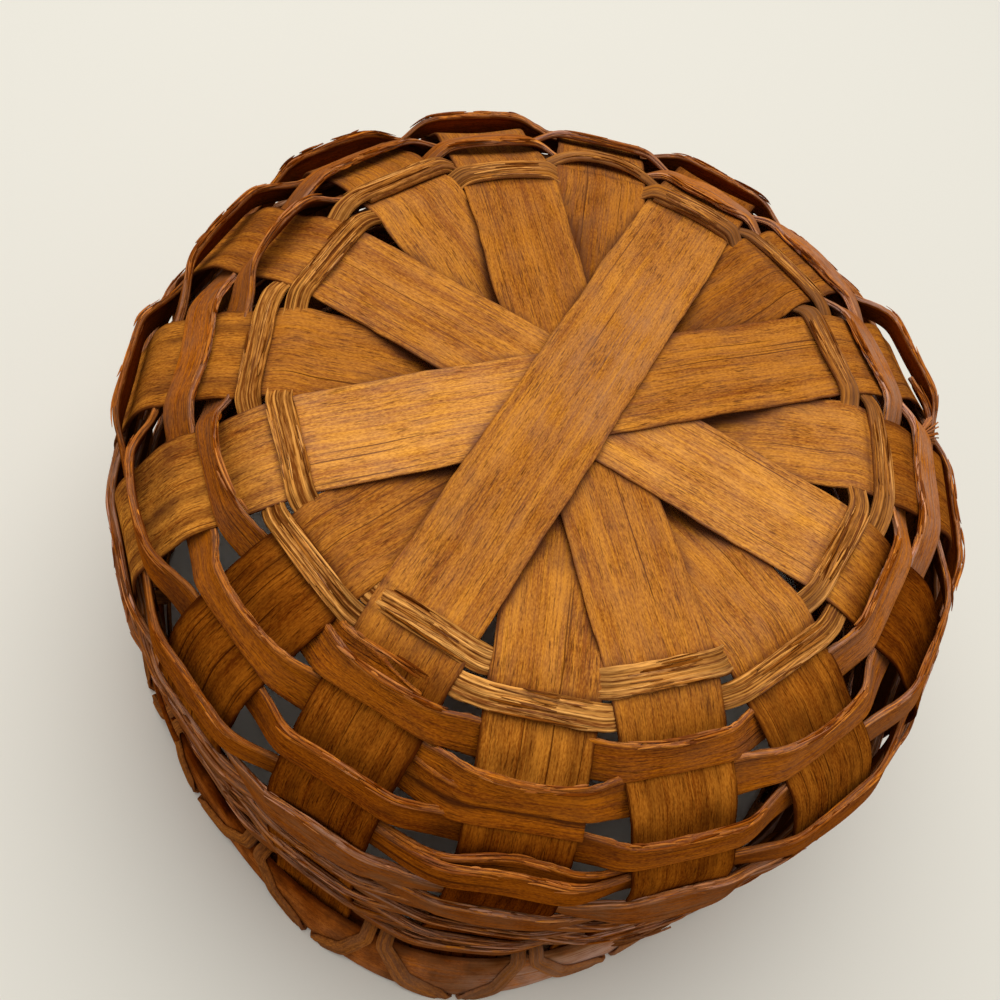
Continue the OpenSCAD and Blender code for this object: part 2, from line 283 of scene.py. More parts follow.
# Split wood is drawn in strip coordinates: millimetres along and across the grain, and the piece's number.
# The marks give the side of the strip from edge to edge, its stain with painted shade, its brightness with
# painted light and shade in places, and its dust with painted sheen.
def split_wood_group():
    tree = bpy.data.node_groups.new("split_wood", "ShaderNodeTree")
    sockets = tree.interface
    for label in ("Pale", "Deep", "Stain", "DustAndSheen"):
        sockets.new_socket(label, in_out="INPUT", socket_type="NodeSocketColor")
    for label in ("Lines", "Flecks", "Streaks", "Staining", "Torn"):
        sockets.new_socket(label, in_out="INPUT", socket_type="NodeSocketFloat")
    sockets.new_socket("Color", in_out="OUTPUT", socket_type="NodeSocketColor")
    sockets.new_socket("Roughness", in_out="OUTPUT", socket_type="NodeSocketFloat")
    sockets.new_socket("Height", in_out="OUTPUT", socket_type="NodeSocketFloat")
    given = tree.nodes.new("NodeGroupInput").outputs
    result = tree.nodes.new("NodeGroupOutput").inputs
    grain = add_node(tree, "ShaderNodeAttribute", {}, attribute_name="grain").outputs["Vector"]
    marks = add_node(tree, "ShaderNodeAttribute", {}, attribute_name="marks").outputs
    along, across, piece = add_node(tree, "ShaderNodeSeparateXYZ", {0: grain}).outputs
    edge, stain_and_shade, tint = add_node(tree, "ShaderNodeSeparateXYZ", {0: marks["Vector"]}).outputs
    dust_and_sheen = marks["Alpha"]

    def fibre_noise(per_along, per_across, detail, offset):
        x = maths(tree, "MULTIPLY", along, per_along)
        y = maths(tree, "MULTIPLY", across, per_across)
        z = scaled(tree, piece, 7.31, offset)
        place = add_node(tree, "ShaderNodeCombineXYZ", {0: x, 1: y, 2: z}).outputs[0]
        noise = add_node(tree, "ShaderNodeTexNoise", {"Vector": place, "Scale": 1.0, "Detail": detail})
        return noise.outputs[0]

    def centred(noise, amount):
        return maths(tree, "MULTIPLY", maths(tree, "SUBTRACT", noise, 0.5), amount)

    # Each noise: changes for each millimetre along the grain and across it, detail, and an offset of its own
    lines = fibre_noise(0.035, 1.9, 6.0, 0.0)
    bands = fibre_noise(0.008, 0.3, 3.0, 3.7)
    mottle = fibre_noise(0.045, 0.09, 3.0, 9.1)
    dashes = fibre_noise(0.28, 2.8, 3.0, 15.3)
    specks = fibre_noise(1.1, 3.0, 3.0, 21.9)
    blots = fibre_noise(0.12, 0.2, 6.0, 27.4)
    fibres = fibre_noise(0.05, 3.6, 4.0, 33.8)
    splits = fibre_noise(0.012, 1.3, 1.0, 41.2)

    # From pale to deep wood, with bare fibres down a torn edge
    streak = centred(lines, given["Lines"])
    band = centred(bands, given["Streaks"])
    cloud = centred(mottle, 0.7)
    speck = centred(specks, 1.8)
    torn = maths(tree, "MULTIPLY", spread(tree, edge, -0.45, -0.95), given["Torn"])
    fibre = centred(fibres, maths(tree, "MULTIPLY", torn, 5.0))
    depth = maths(tree, "ADD", maths(tree, "ADD", streak, band), maths(tree, "ADD", cloud, speck))
    depth = spread(tree, maths(tree, "ADD", depth, fibre), -0.5, 0.5)
    colour = mixed(tree, depth, given["Pale"], given["Deep"])

    # Dark dashes and long splits in the grain, then stains with painted shade, dust with painted sheen, and
    # the brightness of the strip
    clusters = maths(tree, "ADD", dashes, maths(tree, "MULTIPLY", cloud, 0.35))
    dash = maths(tree, "MULTIPLY", spread(tree, clusters, 0.56, 0.74), given["Flecks"])
    split = maths(tree, "MULTIPLY", spread(tree, splits, 0.7, 0.75), given["Flecks"])
    dash = maths(tree, "MAXIMUM", dash, split)
    colour = mixed(tree, dash, colour, given["Stain"])
    # Stain and painted shade darken the wood through one mask
    patchy = maths(tree, "ADD", scaled(tree, blots, 1.5, -0.85), stain_and_shade)
    patchy = maths(tree, "MULTIPLY", spread(tree, patchy, 0.1, 0.9), given["Staining"])
    colour = mixed(tree, patchy, colour, given["Stain"])
    # Dust and painted sheen: a pale greyish film that also stands in for the sheen of light on the wood
    dust_and_sheen_share = maths(tree, "MULTIPLY", spread(tree, maths(tree, "ADD", blots, lines), 0.7, 1.25), dust_and_sheen)
    colour = mixed(tree, dust_and_sheen_share, colour, given["DustAndSheen"])
    deeper = maths(tree, "POWER", tint, 1.4)
    deepest = maths(tree, "POWER", tint, 2.2)
    shade = add_node(tree, "ShaderNodeCombineXYZ", {0: tint, 1: deeper, 2: deepest}).outputs[0]
    colour = mixed(tree, 1.0, colour, shade, "MULTIPLY")

    rough = maths(tree, "ADD", scaled(tree, lines, 0.25, 0.38), maths(tree, "MULTIPLY", patchy, 0.15))
    height = maths(tree, "SUBTRACT", maths(tree, "ADD", lines, maths(tree, "MULTIPLY", specks, 0.35)), dash)
    height = maths(tree, "SUBTRACT", height, fibre)
    tree.links.new(colour, result["Color"])
    tree.links.new(rough, result["Roughness"])
    tree.links.new(height, result["Height"])
    return tree


split_wood = split_wood_group()
# Colour of dust, also used for painted sheen
WOOD_DUST_AND_SHEEN = linear(178, 132, 102)
BUMP_STRENGTH = 0.6


def wood_material(name, pale, deep, stain_and_shade, lines, flecks, streaks, stain_and_shade_share, torn, relief):
    material = bpy.data.materials.new(name)
    material.use_nodes = True
    tree = material.node_tree
    shader = tree.nodes["Principled BSDF"]
    shader.inputs["Specular IOR Level"].default_value = 0.0
    values = {"Pale": pale, "Deep": deep, "Stain": stain_and_shade, "DustAndSheen": WOOD_DUST_AND_SHEEN}
    values.update(Lines=lines, Flecks=flecks, Streaks=streaks, Staining=stain_and_shade_share, Torn=torn)
    wood = tree.nodes.new("ShaderNodeGroup")
    wood.node_tree = split_wood
    for label, value in values.items():
        wood.inputs[label].default_value = value
    bump = add_node(tree, "ShaderNodeBump", {"Height": wood.outputs["Height"], "Distance": relief})
    bump.inputs["Strength"].default_value = BUMP_STRENGTH
    tree.links.new(wood.outputs["Color"], shader.inputs["Base Color"])
    tree.links.new(wood.outputs["Roughness"], shader.inputs["Roughness"])
    tree.links.new(bump.outputs["Normal"], shader.inputs["Normal"])
    return material


stake_wood = wood_material(
    "stake_wood", linear(218, 142, 50), linear(146, 78, 18), linear(82, 34, 6),
    lines=1.6, flecks=0.85, streaks=1.3, stain_and_shade_share=0.9, torn=0.0, relief=0.0003,
)

# Node, stake at its first end, turn in degrees, sideways shift in millimetres
SPLINTS = [
    ("splint_outer_1", 4, -0.3, 1.6),
    ("splint_outer_2", 2, 1.5, 0.13),
    ("splint_outer_3", 0, -0.3, -1.6),
    ("splint_outer_4", 6, -1.95, 0.86),
    ("splint_inner_1", 5, -0.5, 0.4),
    ("splint_inner_2", 3, 1.45, 1.4),
    ("splint_inner_3", 1, 2.25, -0.46),
    ("splint_inner_4", 15, -2.45, -0.46),
]
# Along a stake: the stacked crossing, the way down to the wall line, and the rise to the first rows
STACK_END = 35.1
SETTLE_END = 58.1
SUNK_DEEP = LAYER + CLEARANCE
SUNK_SHALLOW = 2 * CLEARANCE
RISE_START = 66.5
RISE_END = 75.0
STAKE_END = 228.17
SPLINT_STEP = 1.1
SPLINT_SECTION = strip_section(34, 0.03)
# Where the rows cross the stakes, and how far they press them in or let them out
ROUGH_PLACES = [FIRST_ROW, FIRST_ROW + 7.4]
ROUGH_WIDTH = 6.6
PRESSED = 0.4
PRESSED_SPREAD = 4
WALL_PRESSED = 0.6
WALL_ROWS_START = 88.47
WALL_ROW_PITCH = 10.31
WALL_PRESS_START = 86
WALL_PRESS_RUN = 5
WALL_PRESS_END = 195
WALL_PRESS_FADE = 15
# Unevenness of the split: size in millimetres, length over which it changes, and seed
WIDTH_DRIFT = (0.35, 70, 11)
EDGE_NICKS = (0.14, 3.5, 12)
EDGE_WAVES = (0.3, 14, 13)
CURL_DRIFT = (0.35, 45, 14)
SWAY = (0.25, 18, 15)
OUTER_CURL = 0.45
INNER_CURL = -0.18
CURL_AXIS = 0.3
# The grain of an inner face is drawn from another place than that of the outer face
INNER_FACE_GRAIN = 40


def sunk(s):
    """How far the inner splints lie inside the outer ones once they have left the crossing."""
    risen = ease((s - RISE_START) / (RISE_END - RISE_START))
    level = 1 - ease((s - RISE_END) / (SLOPE_END - RISE_END))
    return SUNK_DEEP + (SUNK_SHALLOW * level - SUNK_DEEP) * risen


def pressed(s, outer):
    """Level of a stake as the rows pass over it and under it in turn."""
    first, second = (bell(s, place, PRESSED_SPREAD) for place in ROUGH_PLACES)
    turns = (s - WALL_ROWS_START) / WALL_ROW_PITCH - 0.5
    wave = np.cos(math.pi * turns) * ease((s - WALL_PRESS_START) / WALL_PRESS_RUN)
    wave = wave * (1 - ease((s - WALL_PRESS_END) / WALL_PRESS_FADE))
    return (PRESSED * (second - first) - WALL_PRESSED * wave) * (1 if outer else -1)


# Brightness of each splint on the base and on the wall, first at its first end and then at its other end.
# Besides the wood's own tone these hold painted light and shade: the walls are darker where less light
# reaches them.
SPLINT_TONE = [
    (1.02, 1.02, 0.6, 0.6), (0.91, 1.38, 0.78, 1.1), (1.26, 1.07, 0.38, 0.78), (0.89, 1.01, 0.84, 0.76),
    (0.8, 1.03, 0.8, 0.9), (0.71, 0.93, 0.78, 0.48), (1.11, 0.9, 0.66, 0.88), (1.07, 1.02, 0.66, 0.82),
]
TONE_CHANGE = 30
WALL_LOOK_START = 74
WALL_LOOK_RUN = 20
# The stakes at the front are darkened down the wall with painted shade, where the rows over them shadow them
FRONT_SHADE = 0.75
FRONT_SHADE_ANGLE = math.radians(-68)
FRONT_SHADE_SPREAD = 0.3
FRONT_SHADE_START = 100
FRONT_SHADE_RUN = 22
# Dirt and painted shade as shares of full stain, with the middle and spread of the valley beside the
# crossing, where the sunk inner splints get stain and painted shade
SPLINT_STAIN = 0.02
EDGE_STAIN = 0.12
EDGE_STAIN_WIDTH = 0.28
VALLEY = (45, 11)
VALLEY_STAIN_AND_SHADE = 0.25
VALLEY_EDGE_STAIN_AND_SHADE = 0.4
OUTER_VALLEY = 0.2
OVERLAP_SHADOW = 0.75
OVERLAP_END = 68
OVERLAP_FADE = 1.3
ROW_EDGE_SHADE = 0.6
ROW_EDGE_FADE = 0.9
WALL_STAIN = 0.2
WALL_STREAKS = (0.45, 70, 17)
STREAKS_ACROSS = 8
WALL_EDGE_STAIN_AND_SHADE = 0.35
WALL_EDGE_WIDTH = 0.1
EDGE_LINE_STAIN_AND_SHADE = 0.4
EDGE_LINE_WIDTH = 0.05
EDGE_LINE_PATCHES = (0.8, 9, 16)
# Dust and painted sheen on the base, more of it at the first end of two splints, and painted sheen on the
# wall at the far side
BASE_DUST_AND_SHEEN = 0.19
DUST_AND_SHEEN_SPLINTS = ("splint_inner_1", "splint_inner_2")
DUST_AND_SHEEN_BASE = 0.16
DUST_AND_SHEEN_FIRST_END = 0.14
STAKE_SHEEN = 0.34
STAKE_SHEEN_ANGLE = math.radians(110)
STAKE_SHEEN_SPREAD = 1.0
# A rubbed patch on the outermost splint and a dark blot on an inner one: strength, then middle and spread
# along the splint and across it
RUBBED_PATCH = (0.3, 15, 22, -0.2, 0.6)
DARK_BLOT = (0.7, 50, 7, 0.5, 0.3)


def shadow_beside(order, x, y):
    """Painted shadow on a splint along the edges of the splints that lie over it."""
    dark = np.zeros_like(x)
    for node, first, turn, shift in SPLINTS[:order]:
        heading = first * STAKE_STEP + math.radians(turn)
        off = np.abs(y * math.cos(heading) - x * math.sin(heading) - shift) - STAKE_WIDTH / 2
        dark = np.maximum(dark, np.exp(-np.maximum(off, 0) / OVERLAP_FADE))
    return dark


def patch(kind, along, side):
    strength, place, length, across, breadth = kind
    return strength * bell(along, place, length) * bell(side, across, breadth)


def splint_marks(order, along, heading, x, y):
    """Side, stain, brightness and dust over a splint."""
    node = SPLINTS[order][0]
    inner = order >= LAYER_SPLINTS
    side = SPLINT_SECTION[0]
    s = np.abs(along)
    on_wall = ease((s - WALL_LOOK_START) / WALL_LOOK_RUN)
    end = ease((along + TONE_CHANGE) / (2 * TONE_CHANGE))
    end_angle = heading + np.where(along < 0, math.pi, 0)
    base_near, base_far, wall_near, wall_far = SPLINT_TONE[order]
    base_tone = base_far + (base_near - base_far) * end
    wall_tone = wall_far + (wall_near - wall_far) * end
    # The tones hold painted light and shade as well as the wood's own tone
    tone = base_tone + (wall_tone - base_tone) * on_wall
    # Painted shade down the stakes at the front
    shaded = ease((s - FRONT_SHADE_START) / FRONT_SHADE_RUN)
    tone = tone * (1 - FRONT_SHADE * shaded * hump(end_angle, FRONT_SHADE_ANGLE, FRONT_SHADE_SPREAD))
    # Stain and painted shade in the valley beside the crossing, most on the sunk inner splints
    valley = bell(s, *VALLEY) * (1.0 if inner else OUTER_VALLEY)
    stain_and_shade = SPLINT_STAIN + VALLEY_STAIN_AND_SHADE * valley + WALL_STAIN * on_wall
    stain_and_shade = stain_and_shade + near_edges(side, EDGE_STAIN_WIDTH) * (EDGE_STAIN + VALLEY_EDGE_STAIN_AND_SHADE * valley)
    # Painted shadow beside the edges of the splints that lie over this one
    stain_and_shade = stain_and_shade + OVERLAP_SHADOW * np.where(s < OVERLAP_END, shadow_beside(order, x, y), 0)
    # Painted shade on the stake along both edges of the rough row over it
    row_edge = np.abs(np.abs(s - ROUGH_PLACES[1 if inner else 0]) - ROUGH_WIDTH / 2)
    stain_and_shade = stain_and_shade + ROW_EDGE_SHADE * np.exp(-row_edge / ROW_EDGE_FADE)
    streaks = np.maximum(uneven(WALL_STREAKS, along, STREAKS_ACROSS * side + 20 * order), 0)
    # On the wall: streaks, and stain with painted shade along both edges of the stake
    stain_and_shade = stain_and_shade + on_wall * (streaks + WALL_EDGE_STAIN_AND_SHADE * near_edges(side, WALL_EDGE_WIDTH))
    # A broken dark line along both edges: stain with painted shade in the gap beside the splint
    patches = 1 + uneven(EDGE_LINE_PATCHES, along, 3 * np.sign(side) + 7 * order)
    stain_and_shade = stain_and_shade + EDGE_LINE_STAIN_AND_SHADE * near_edges(side, EDGE_LINE_WIDTH) * patches
    # Dust with painted sheen on the base, and painted sheen down the wall at the far side
    base_dust_and_sheen = DUST_AND_SHEEN_BASE + DUST_AND_SHEEN_FIRST_END * end if node in DUST_AND_SHEEN_SPLINTS else BASE_DUST_AND_SHEEN
    dust_and_sheen = base_dust_and_sheen * (1 - on_wall)
    dust_and_sheen = dust_and_sheen + STAKE_SHEEN * on_wall * hump(end_angle, STAKE_SHEEN_ANGLE, STAKE_SHEEN_SPREAD)
    if node == "splint_outer_1":
        dust_and_sheen = dust_and_sheen + patch(RUBBED_PATCH, along, side)
    if node == "splint_inner_1":
        stain_and_shade = stain_and_shade + patch(DARK_BLOT, along, side)
    return layered(side, stain_and_shade, tone, dust_and_sheen)


for order, (node, first, turn, shift) in enumerate(SPLINTS):
    inner = order >= LAYER_SPLINTS
    rise = -(INNER_LEVEL + order - LAYER_SPLINTS) * LAYER if inner else (OUTER_LEVEL - order) * LAYER
    along = np.linspace(-STAKE_END, STAKE_END, int(2 * STAKE_END / SPLINT_STEP))[:, None]
    s = np.abs(along)
    side, height = SPLINT_SECTION
    free = ease((s - STACK_END) / (SETTLE_END - STACK_END))
    level = rise * (1 - free) - (sunk(s) * free if inner else 0) + pressed(s, not inner)
    width = STAKE_WIDTH / 2 + uneven(WIDTH_DRIFT, along, order)
    width = width + uneven(EDGE_NICKS, along, order + 9 * np.sign(side))
    width = width + uneven(EDGE_WAVES, along, order + 23 * np.sign(side))
    curl = free * ((INNER_CURL if inner else OUTER_CURL) + uneven(CURL_DRIFT, along, order))
    sway = free * uneven(SWAY, along, 1.3 * side + 10 * order)
    offset = level + curl * (side ** 2 - CURL_AXIS) + sway + height * SPLINT_THICKNESS / 2
    radius = (reach(s) + offset * np.sin(tilt(s))) * np.where(along < 0, -1, 1)
    lateral = side * width + shift
    heading = first * STAKE_STEP + math.radians(turn)
    x = radius * math.cos(heading) - lateral * math.sin(heading)
    y = radius * math.sin(heading) + lateral * math.cos(heading)
    z = PLANE_Z - drop(s) + offset * np.cos(tilt(s))
    points = out_of_true(x, y, z)
    grain = layered(along, side * width + INNER_FACE_GRAIN * (height < 0), float(order))
    marks = splint_marks(order, along, heading, x, y)
    piece = strip_object(node.replace("splint", "base_splint"), [(points, grain, marks)], stake_wood)
    fasten(piece, node)


# Rough base rows: two narrow strips of coarse, fibrous split wood woven round the edge of the base.
# They lie tight on the stakes and keep the splints spread. Their faces are ridged and split lengthwise.

WEAVER_THICKNESS = 1.1
BEARING = SPLINT_THICKNESS / 2 + CLEARANCE + WEAVER_THICKNESS / 2
DOUBLE = WEAVER_THICKNESS + CLEARANCE
# Room beside a stake where a row bends round it, and room over the stake where the row bears
BEND_ROOM = 0.35
REST_ROOM = 0.05
# A row starts this far across the stake before its lap. At these stakes past its lap it lies doubled.
START_SHARE = 0.5
DOUBLED_STAKES = (15, 17)
LEAST_FULLNESS = 2.0
FULLEST_SHARE = 0.999
CREST_POWER = 1.4


def stake_angle(i, s):
    """Angle round the basket of the middle of stake i, at distance s along the wall line."""
    for node, first, turn, shift in SPLINTS:
        if (i - first) % (STAKES // 2) == 0:
            way = 1 if (i - first) % STAKES == 0 else -1
            return i * STAKE_STEP + math.radians(turn) + way * math.asin(shift / reach(s))


def woven_path(place, flat_error, lap, bow, end_share, step):
    """Turn angle, level outside the wall line, crest, side, flattening and nearest stake along a row.
    The row starts behind the stake before its lap and ends on the lap, under its own start."""
    radius = reach(place)
    edge = math.atan((STAKE_WIDTH / 2 + BEND_ROOM) / radius)
    at = {j: stake_angle(lap + j, place) for j in range(-3, STAKES + 4)}
    start = at[-1] - START_SHARE * edge
    end = at[STAKES] + end_share * edge
    angle = np.linspace(start, end, int((end - start) * radius / step))
    level = np.zeros_like(angle)
    crest = np.zeros_like(angle)
    outside = -np.ones_like(angle)
    flat = np.ones_like(angle)
    owner = np.zeros(len(angle), int)

    def stake_level(j):
        outer = (lap + j) % 2 == 0
        return pressed(place, outer) - (0 if outer else sunk(place))

    def under(j):
        return stake_level(j) - BEARING - flat_error - (DOUBLE if j in DOUBLED_STAKES else 0)

    for j in range(-2, STAKES + 3):
        off = angle - at[j]
        if j % 2:
            here = np.abs(off) <= edge
            level[here] = under(j)
        else:
            left = at[j] - at[j - 1] - edge
            right = at[j + 1] - at[j] - edge
            here = (off > -left) & (off < right)
            f = np.where(off < 0, off / left, off / right)
            floor = under(j - 1) + (under(j + 1) - under(j - 1)) * (f + 1) / 2
            rest = stake_level(j) + BEARING + (DOUBLE if j == 0 else 0)
            peak = rest + bow[(lap + j) % STAKES]
            share = min((rest + REST_ROOM - under(j - 1)) / (peak - under(j - 1)), FULLEST_SHARE)
            fullness = max(LEAST_FULLNESS, math.log(1 - share) / math.log(edge / min(left, right)))
            bulge = 1 - np.abs(f) ** fullness
            level[here] = (floor + (peak - floor) * bulge)[here]
            crest[here] = np.cos(f[here] * math.pi / 2) ** CREST_POWER
            wide = edge / np.where(off < 0, left, right)
            outside[here] = (1 - 2 * ease((np.abs(f) - wide) / (1 - wide)))[here]
            owner[here] = (lap + j) % STAKES
        near = np.abs(off) <= edge
        flat[near] = 1 / np.cos(off[near])
        middle = (at[j] + at[j + 1]) / 2
        half_gap = (at[j + 1] - at[j]) / 2 - edge
        gap = np.abs(angle - middle) < half_gap
        flat[gap] = math.cos(half_gap) / math.cos(edge) / np.cos(angle[gap] - middle)
    return angle, level, crest, outside, flat, owner


SOFT_REACH = 6


def softened(values, spread_steps):
    """Values along a path, each blended with its neighbours."""
    weights = bell(np.arange(-SOFT_REACH, SOFT_REACH + 1), 0, spread_steps)
    padded = np.concatenate([[values[0]] * SOFT_REACH, values, [values[-1]] * SOFT_REACH])
    return np.convolve(padded, weights / weights.sum(), "valid")


def woven_points(place, angle, level, flat, twist, across, out):
    """Points of a woven strip. A positive twist stands its edge nearest the base away from the wall."""
    turn = np.sin(twist)
    straight = np.cos(twist)
    e = across * straight + out * turn
    v = level - across * turn + out * straight
    r = (reach(place) + v * np.sin(tilt(place)) + e * np.cos(tilt(place))) * flat
    z = PLANE_Z - drop(place) + v * np.cos(tilt(place)) - e * np.sin(tilt(place))
    return out_of_true(r * np.cos(angle), r * np.sin(angle), z)


FIBRE_SECTION = strip_section(4, 0.5)
FIBRE_STEP = 1.5
FIBRE_LEAST_POINTS = 6
FIBRE_LEAST_CREST = 0.3
FIBRE_WIDTHS = (0.16, 0.42)
FIBRE_TIP = 0.04
FIBRE_FULLNESS = 0.6
FIBRE_SLANT = 0.7
FIBRE_CURL = 4
FIBRE_FLATNESS = 0.7
FIBRE_TINTS = [0.5, 0.75, 1.0, 1.2, 1.5]
FIBRE_GRAIN = 0.4
FIBRE_GRAIN_PLACES = 300
FIBRE_STAIN = 0.3


def split_fibres(path, crest, count, seed, lengths, across_range, out_range, lift, number, dust_and_sheen):
    """Split fibres along a woven strip where it shows, pointed at both ends and often raised at one."""
    rng = np.random.default_rng(seed)
    along = path[0]
    side, height = FIBRE_SECTION
    made = []
    while len(made) < count:
        length = rng.uniform(*lengths)
        t = np.linspace(0, 1, max(FIBRE_LEAST_POINTS, int(length / FIBRE_STEP)))
        run = rng.uniform(along[0], along[-1] - length) + t * length
        if np.interp(run, along, crest).min() < FIBRE_LEAST_CREST:
            continue
        place, angle, level, flat, twist = (np.interp(run, along, values)[:, None] for values in path[1:])
        t = t[:, None]
        profile = np.sin(math.pi * (FIBRE_TIP + (1 - 2 * FIBRE_TIP) * t)) ** FIBRE_FULLNESS
        wide = rng.uniform(*FIBRE_WIDTHS) * profile
        raised = (t if rng.random() < 0.5 else 1 - t) ** FIBRE_CURL * lift * rng.random()
        across = rng.uniform(*across_range)
        across = across + rng.uniform(-FIBRE_SLANT, FIBRE_SLANT) * (t - 0.5) + side * wide
        out = rng.uniform(*out_range) + raised + height * wide * FIBRE_FLATNESS
        points = woven_points(place, angle, level, flat, twist, across, out)
        tint = rng.choice(FIBRE_TINTS) * rng.uniform(0.9, 1.1)
        grain_place = side * wide + rng.uniform(0, FIBRE_GRAIN_PLACES)
        grain = layered(FIBRE_GRAIN * run[:, None], grain_place, number)
        marks = layered(0 * side, rng.uniform(-FIBRE_STAIN, FIBRE_STAIN), tint + 0 * t, dust_and_sheen)
        made.append((points, grain, marks))
    return made


rough_wood = wood_material(
    "rough_wood", linear(212, 140, 60), linear(112, 57, 16), linear(62, 27, 6),
    lines=3.8, flecks=0.7, streaks=0.8, stain_and_shade_share=0.8, torn=0.0, relief=0.0006,
)

ROUGH_LAPS = [4, 7]
# How far each row strays towards the rim at the stakes it passes over, from stake 0 or 1 round
ROUGH_STRAY = [[0, 0, 1.5, 1.5, 0, 0, 0, 0], [1, 2, 5, 0, 0, 0, 0, 0]]
ROUGH_STEP = 0.9
ROUGH_SECTION = strip_section(30, 0.1)
ROUGH_END = 0.9
# Steps over which the path is softened
ROUGH_LEVEL_SOFTNESS = 1.6
ROUGH_FLAT_SOFTNESS = 2.0
ROUGH_STRAY_SOFTNESS = 3.0
# Bow over the stakes in millimetres, and the one stake that a row stands well off
ROUGH_BOW = 0.25
ROUGH_BOW_DRIFT = (0.2, 1, 31)
PROUD_STAKE = 5
PROUD_BOW = 1.6
# Unevenness: size, length over which it changes, and seed
ROUGH_PLACE_DRIFT = (0.5, 40, 32)
ROUGH_WIDTH_DRIFT = (0.1, 35, 33)
ROUGH_EDGE_NICKS = (0.22, 4, 34)
ROUGH_TWIST = (math.radians(3), 50, 38)
# Ridges: how many free values lie across half the strip, and their height, length and seed
RIDGES_ACROSS = 5.2
RIDGE_SWAY = (0.9, 30, 35)
RIDGE_HEIGHT = 0.34
RIDGE_LENGTH = 90
RIDGE_SEED = 36
FINE_RIDGES = 2.3
FINE_RIDGE_HEIGHT = 0.18
FINE_RIDGE_LENGTH = 40
FINE_RIDGE_SEED = 37
ROUGH_CROWN = 0.35
# At the far side the rows are narrower, smoother and darker, with painted sheen, and at the front they are
# paler
FAR_ANGLE = math.radians(68)
FAR_SPREAD = 0.7
FAR_NARROWER = 0.14
FAR_SMOOTHER = 0.6
FAR_DARKER = 0.45
FAR_SHEEN = 0.75
FRONT_ANGLE = math.radians(-72)
FRONT_SPREAD = 0.5
FRONT_PALER = 0.45
ROUGH_TONE = 1.08
RIDGE_TONE = 0.9
ROUGH_STAIN = 0.12
ROUGH_TUCKED_SHADE = 0.35
GROOVE_STAIN_AND_SHADE = 1.1
ROUGH_GRAIN = 0.3
ROUGH_NUMBER = 20.0
ROUGH_FIBRES = 260
ROUGH_FIBRE_SEED = 200

for k in range(len(ROUGH_LAPS)):
    bow = ROUGH_BOW + uneven(ROUGH_BOW_DRIFT, np.arange(STAKES), k)
    bow[PROUD_STAKE] = PROUD_BOW
    angle, level, crest, outside, flat, owner = woven_path(
        ROUGH_PLACES[k], 0.0, ROUGH_LAPS[k], bow, ROUGH_END, ROUGH_STEP
    )
    stray = np.array(ROUGH_STRAY[k])[owner // 2] * crest
    level = softened(level, ROUGH_LEVEL_SOFTNESS)
    flat = softened(flat, ROUGH_FLAT_SOFTNESS)
    stray = softened(stray, ROUGH_STRAY_SOFTNESS)
    angle, level, crest, flat, stray = (values[:, None] for values in (angle, level, crest, flat, stray))
    along = (angle - angle[0]) * reach(ROUGH_PLACES[k])
    side, height = ROUGH_SECTION
    far = hump(angle, FAR_ANGLE, FAR_SPREAD)
    front = hump(angle, FRONT_ANGLE, FRONT_SPREAD)
    place = ROUGH_PLACES[k] + stray + uneven(ROUGH_PLACE_DRIFT, along, k)
    width = ROUGH_WIDTH / 2 * (1 + uneven(ROUGH_WIDTH_DRIFT, along, k))
    width = width + uneven(ROUGH_EDGE_NICKS, along, 5 * np.sign(side) + 11 * k)
    width = width * (1 - FAR_NARROWER * far)
    across = side * RIDGES_ACROSS + uneven(RIDGE_SWAY, along, k)
    ridge = RIDGE_HEIGHT * wander(across, along / RIDGE_LENGTH + 30 * k, RIDGE_SEED)
    fine_ridge = wander(across * FINE_RIDGES, along / FINE_RIDGE_LENGTH, FINE_RIDGE_SEED)
    ridge = ridge + FINE_RIDGE_HEIGHT * fine_ridge
    ridge = ridge * (1 - FAR_SMOOTHER * far)
    crown = ROUGH_CROWN * (1 - side ** 2)
    out = height * WEAVER_THICKNESS / 2 + np.where(height > 0, ridge + crown, 0)
    twist = uneven(ROUGH_TWIST, along, k)
    points = woven_points(place, angle, level, flat, twist, side * width, out)
    # Painted shade where the row passes under a stake, stain with painted shade in the grooves, and the
    # ridges paler, partly with painted light
    stain_and_shade = ROUGH_STAIN + ROUGH_TUCKED_SHADE * (1 - crest) - GROOVE_STAIN_AND_SHADE * ridge
    tint = (1 + RIDGE_TONE * ridge) * (ROUGH_TONE + FRONT_PALER * front - FAR_DARKER * far)
    grain_place = side * width + INNER_FACE_GRAIN * (height < 0)
    grain = layered(ROUGH_GRAIN * along, grain_place, ROUGH_NUMBER + k)
    # Painted sheen on the far side
    marks = layered(side, stain_and_shade, tint, FAR_SHEEN * far)
    path = [values[:, 0] for values in (along, place, angle, level, flat, twist)]
    fibres = split_fibres(
        path, crest[:, 0], ROUGH_FIBRES, ROUGH_FIBRE_SEED + k, lengths=(6, 26), across_range=(-3.2, 3.2),
        out_range=(0.6, 0.95), lift=0.3, number=ROUGH_NUMBER + k, dust_and_sheen=0.1,
    )
    piece = strip_object("rough_base_row_%d" % (k + 1), [(points, grain, marks)] + fibres, rough_wood)
    fasten(piece, "base_row_%d" % (k + 1))


# Wall rows: twelve narrow strips of smooth split wood woven over one stake and under the next.
# Each bows out over its stakes. The edge nearest the base is torn and fibrous where the strip was split off.

row_wood = wood_material(
    "row_wood", linear(198, 112, 20), linear(126, 58, 6), linear(58, 20, 3),
    lines=1.5, flecks=0.7, streaks=1.2, stain_and_shade_share=0.85, torn=1.0, relief=0.0004,
)

WALL_ROW_WIDTH = 9.2
WALL_ROW_STEP = 0.75
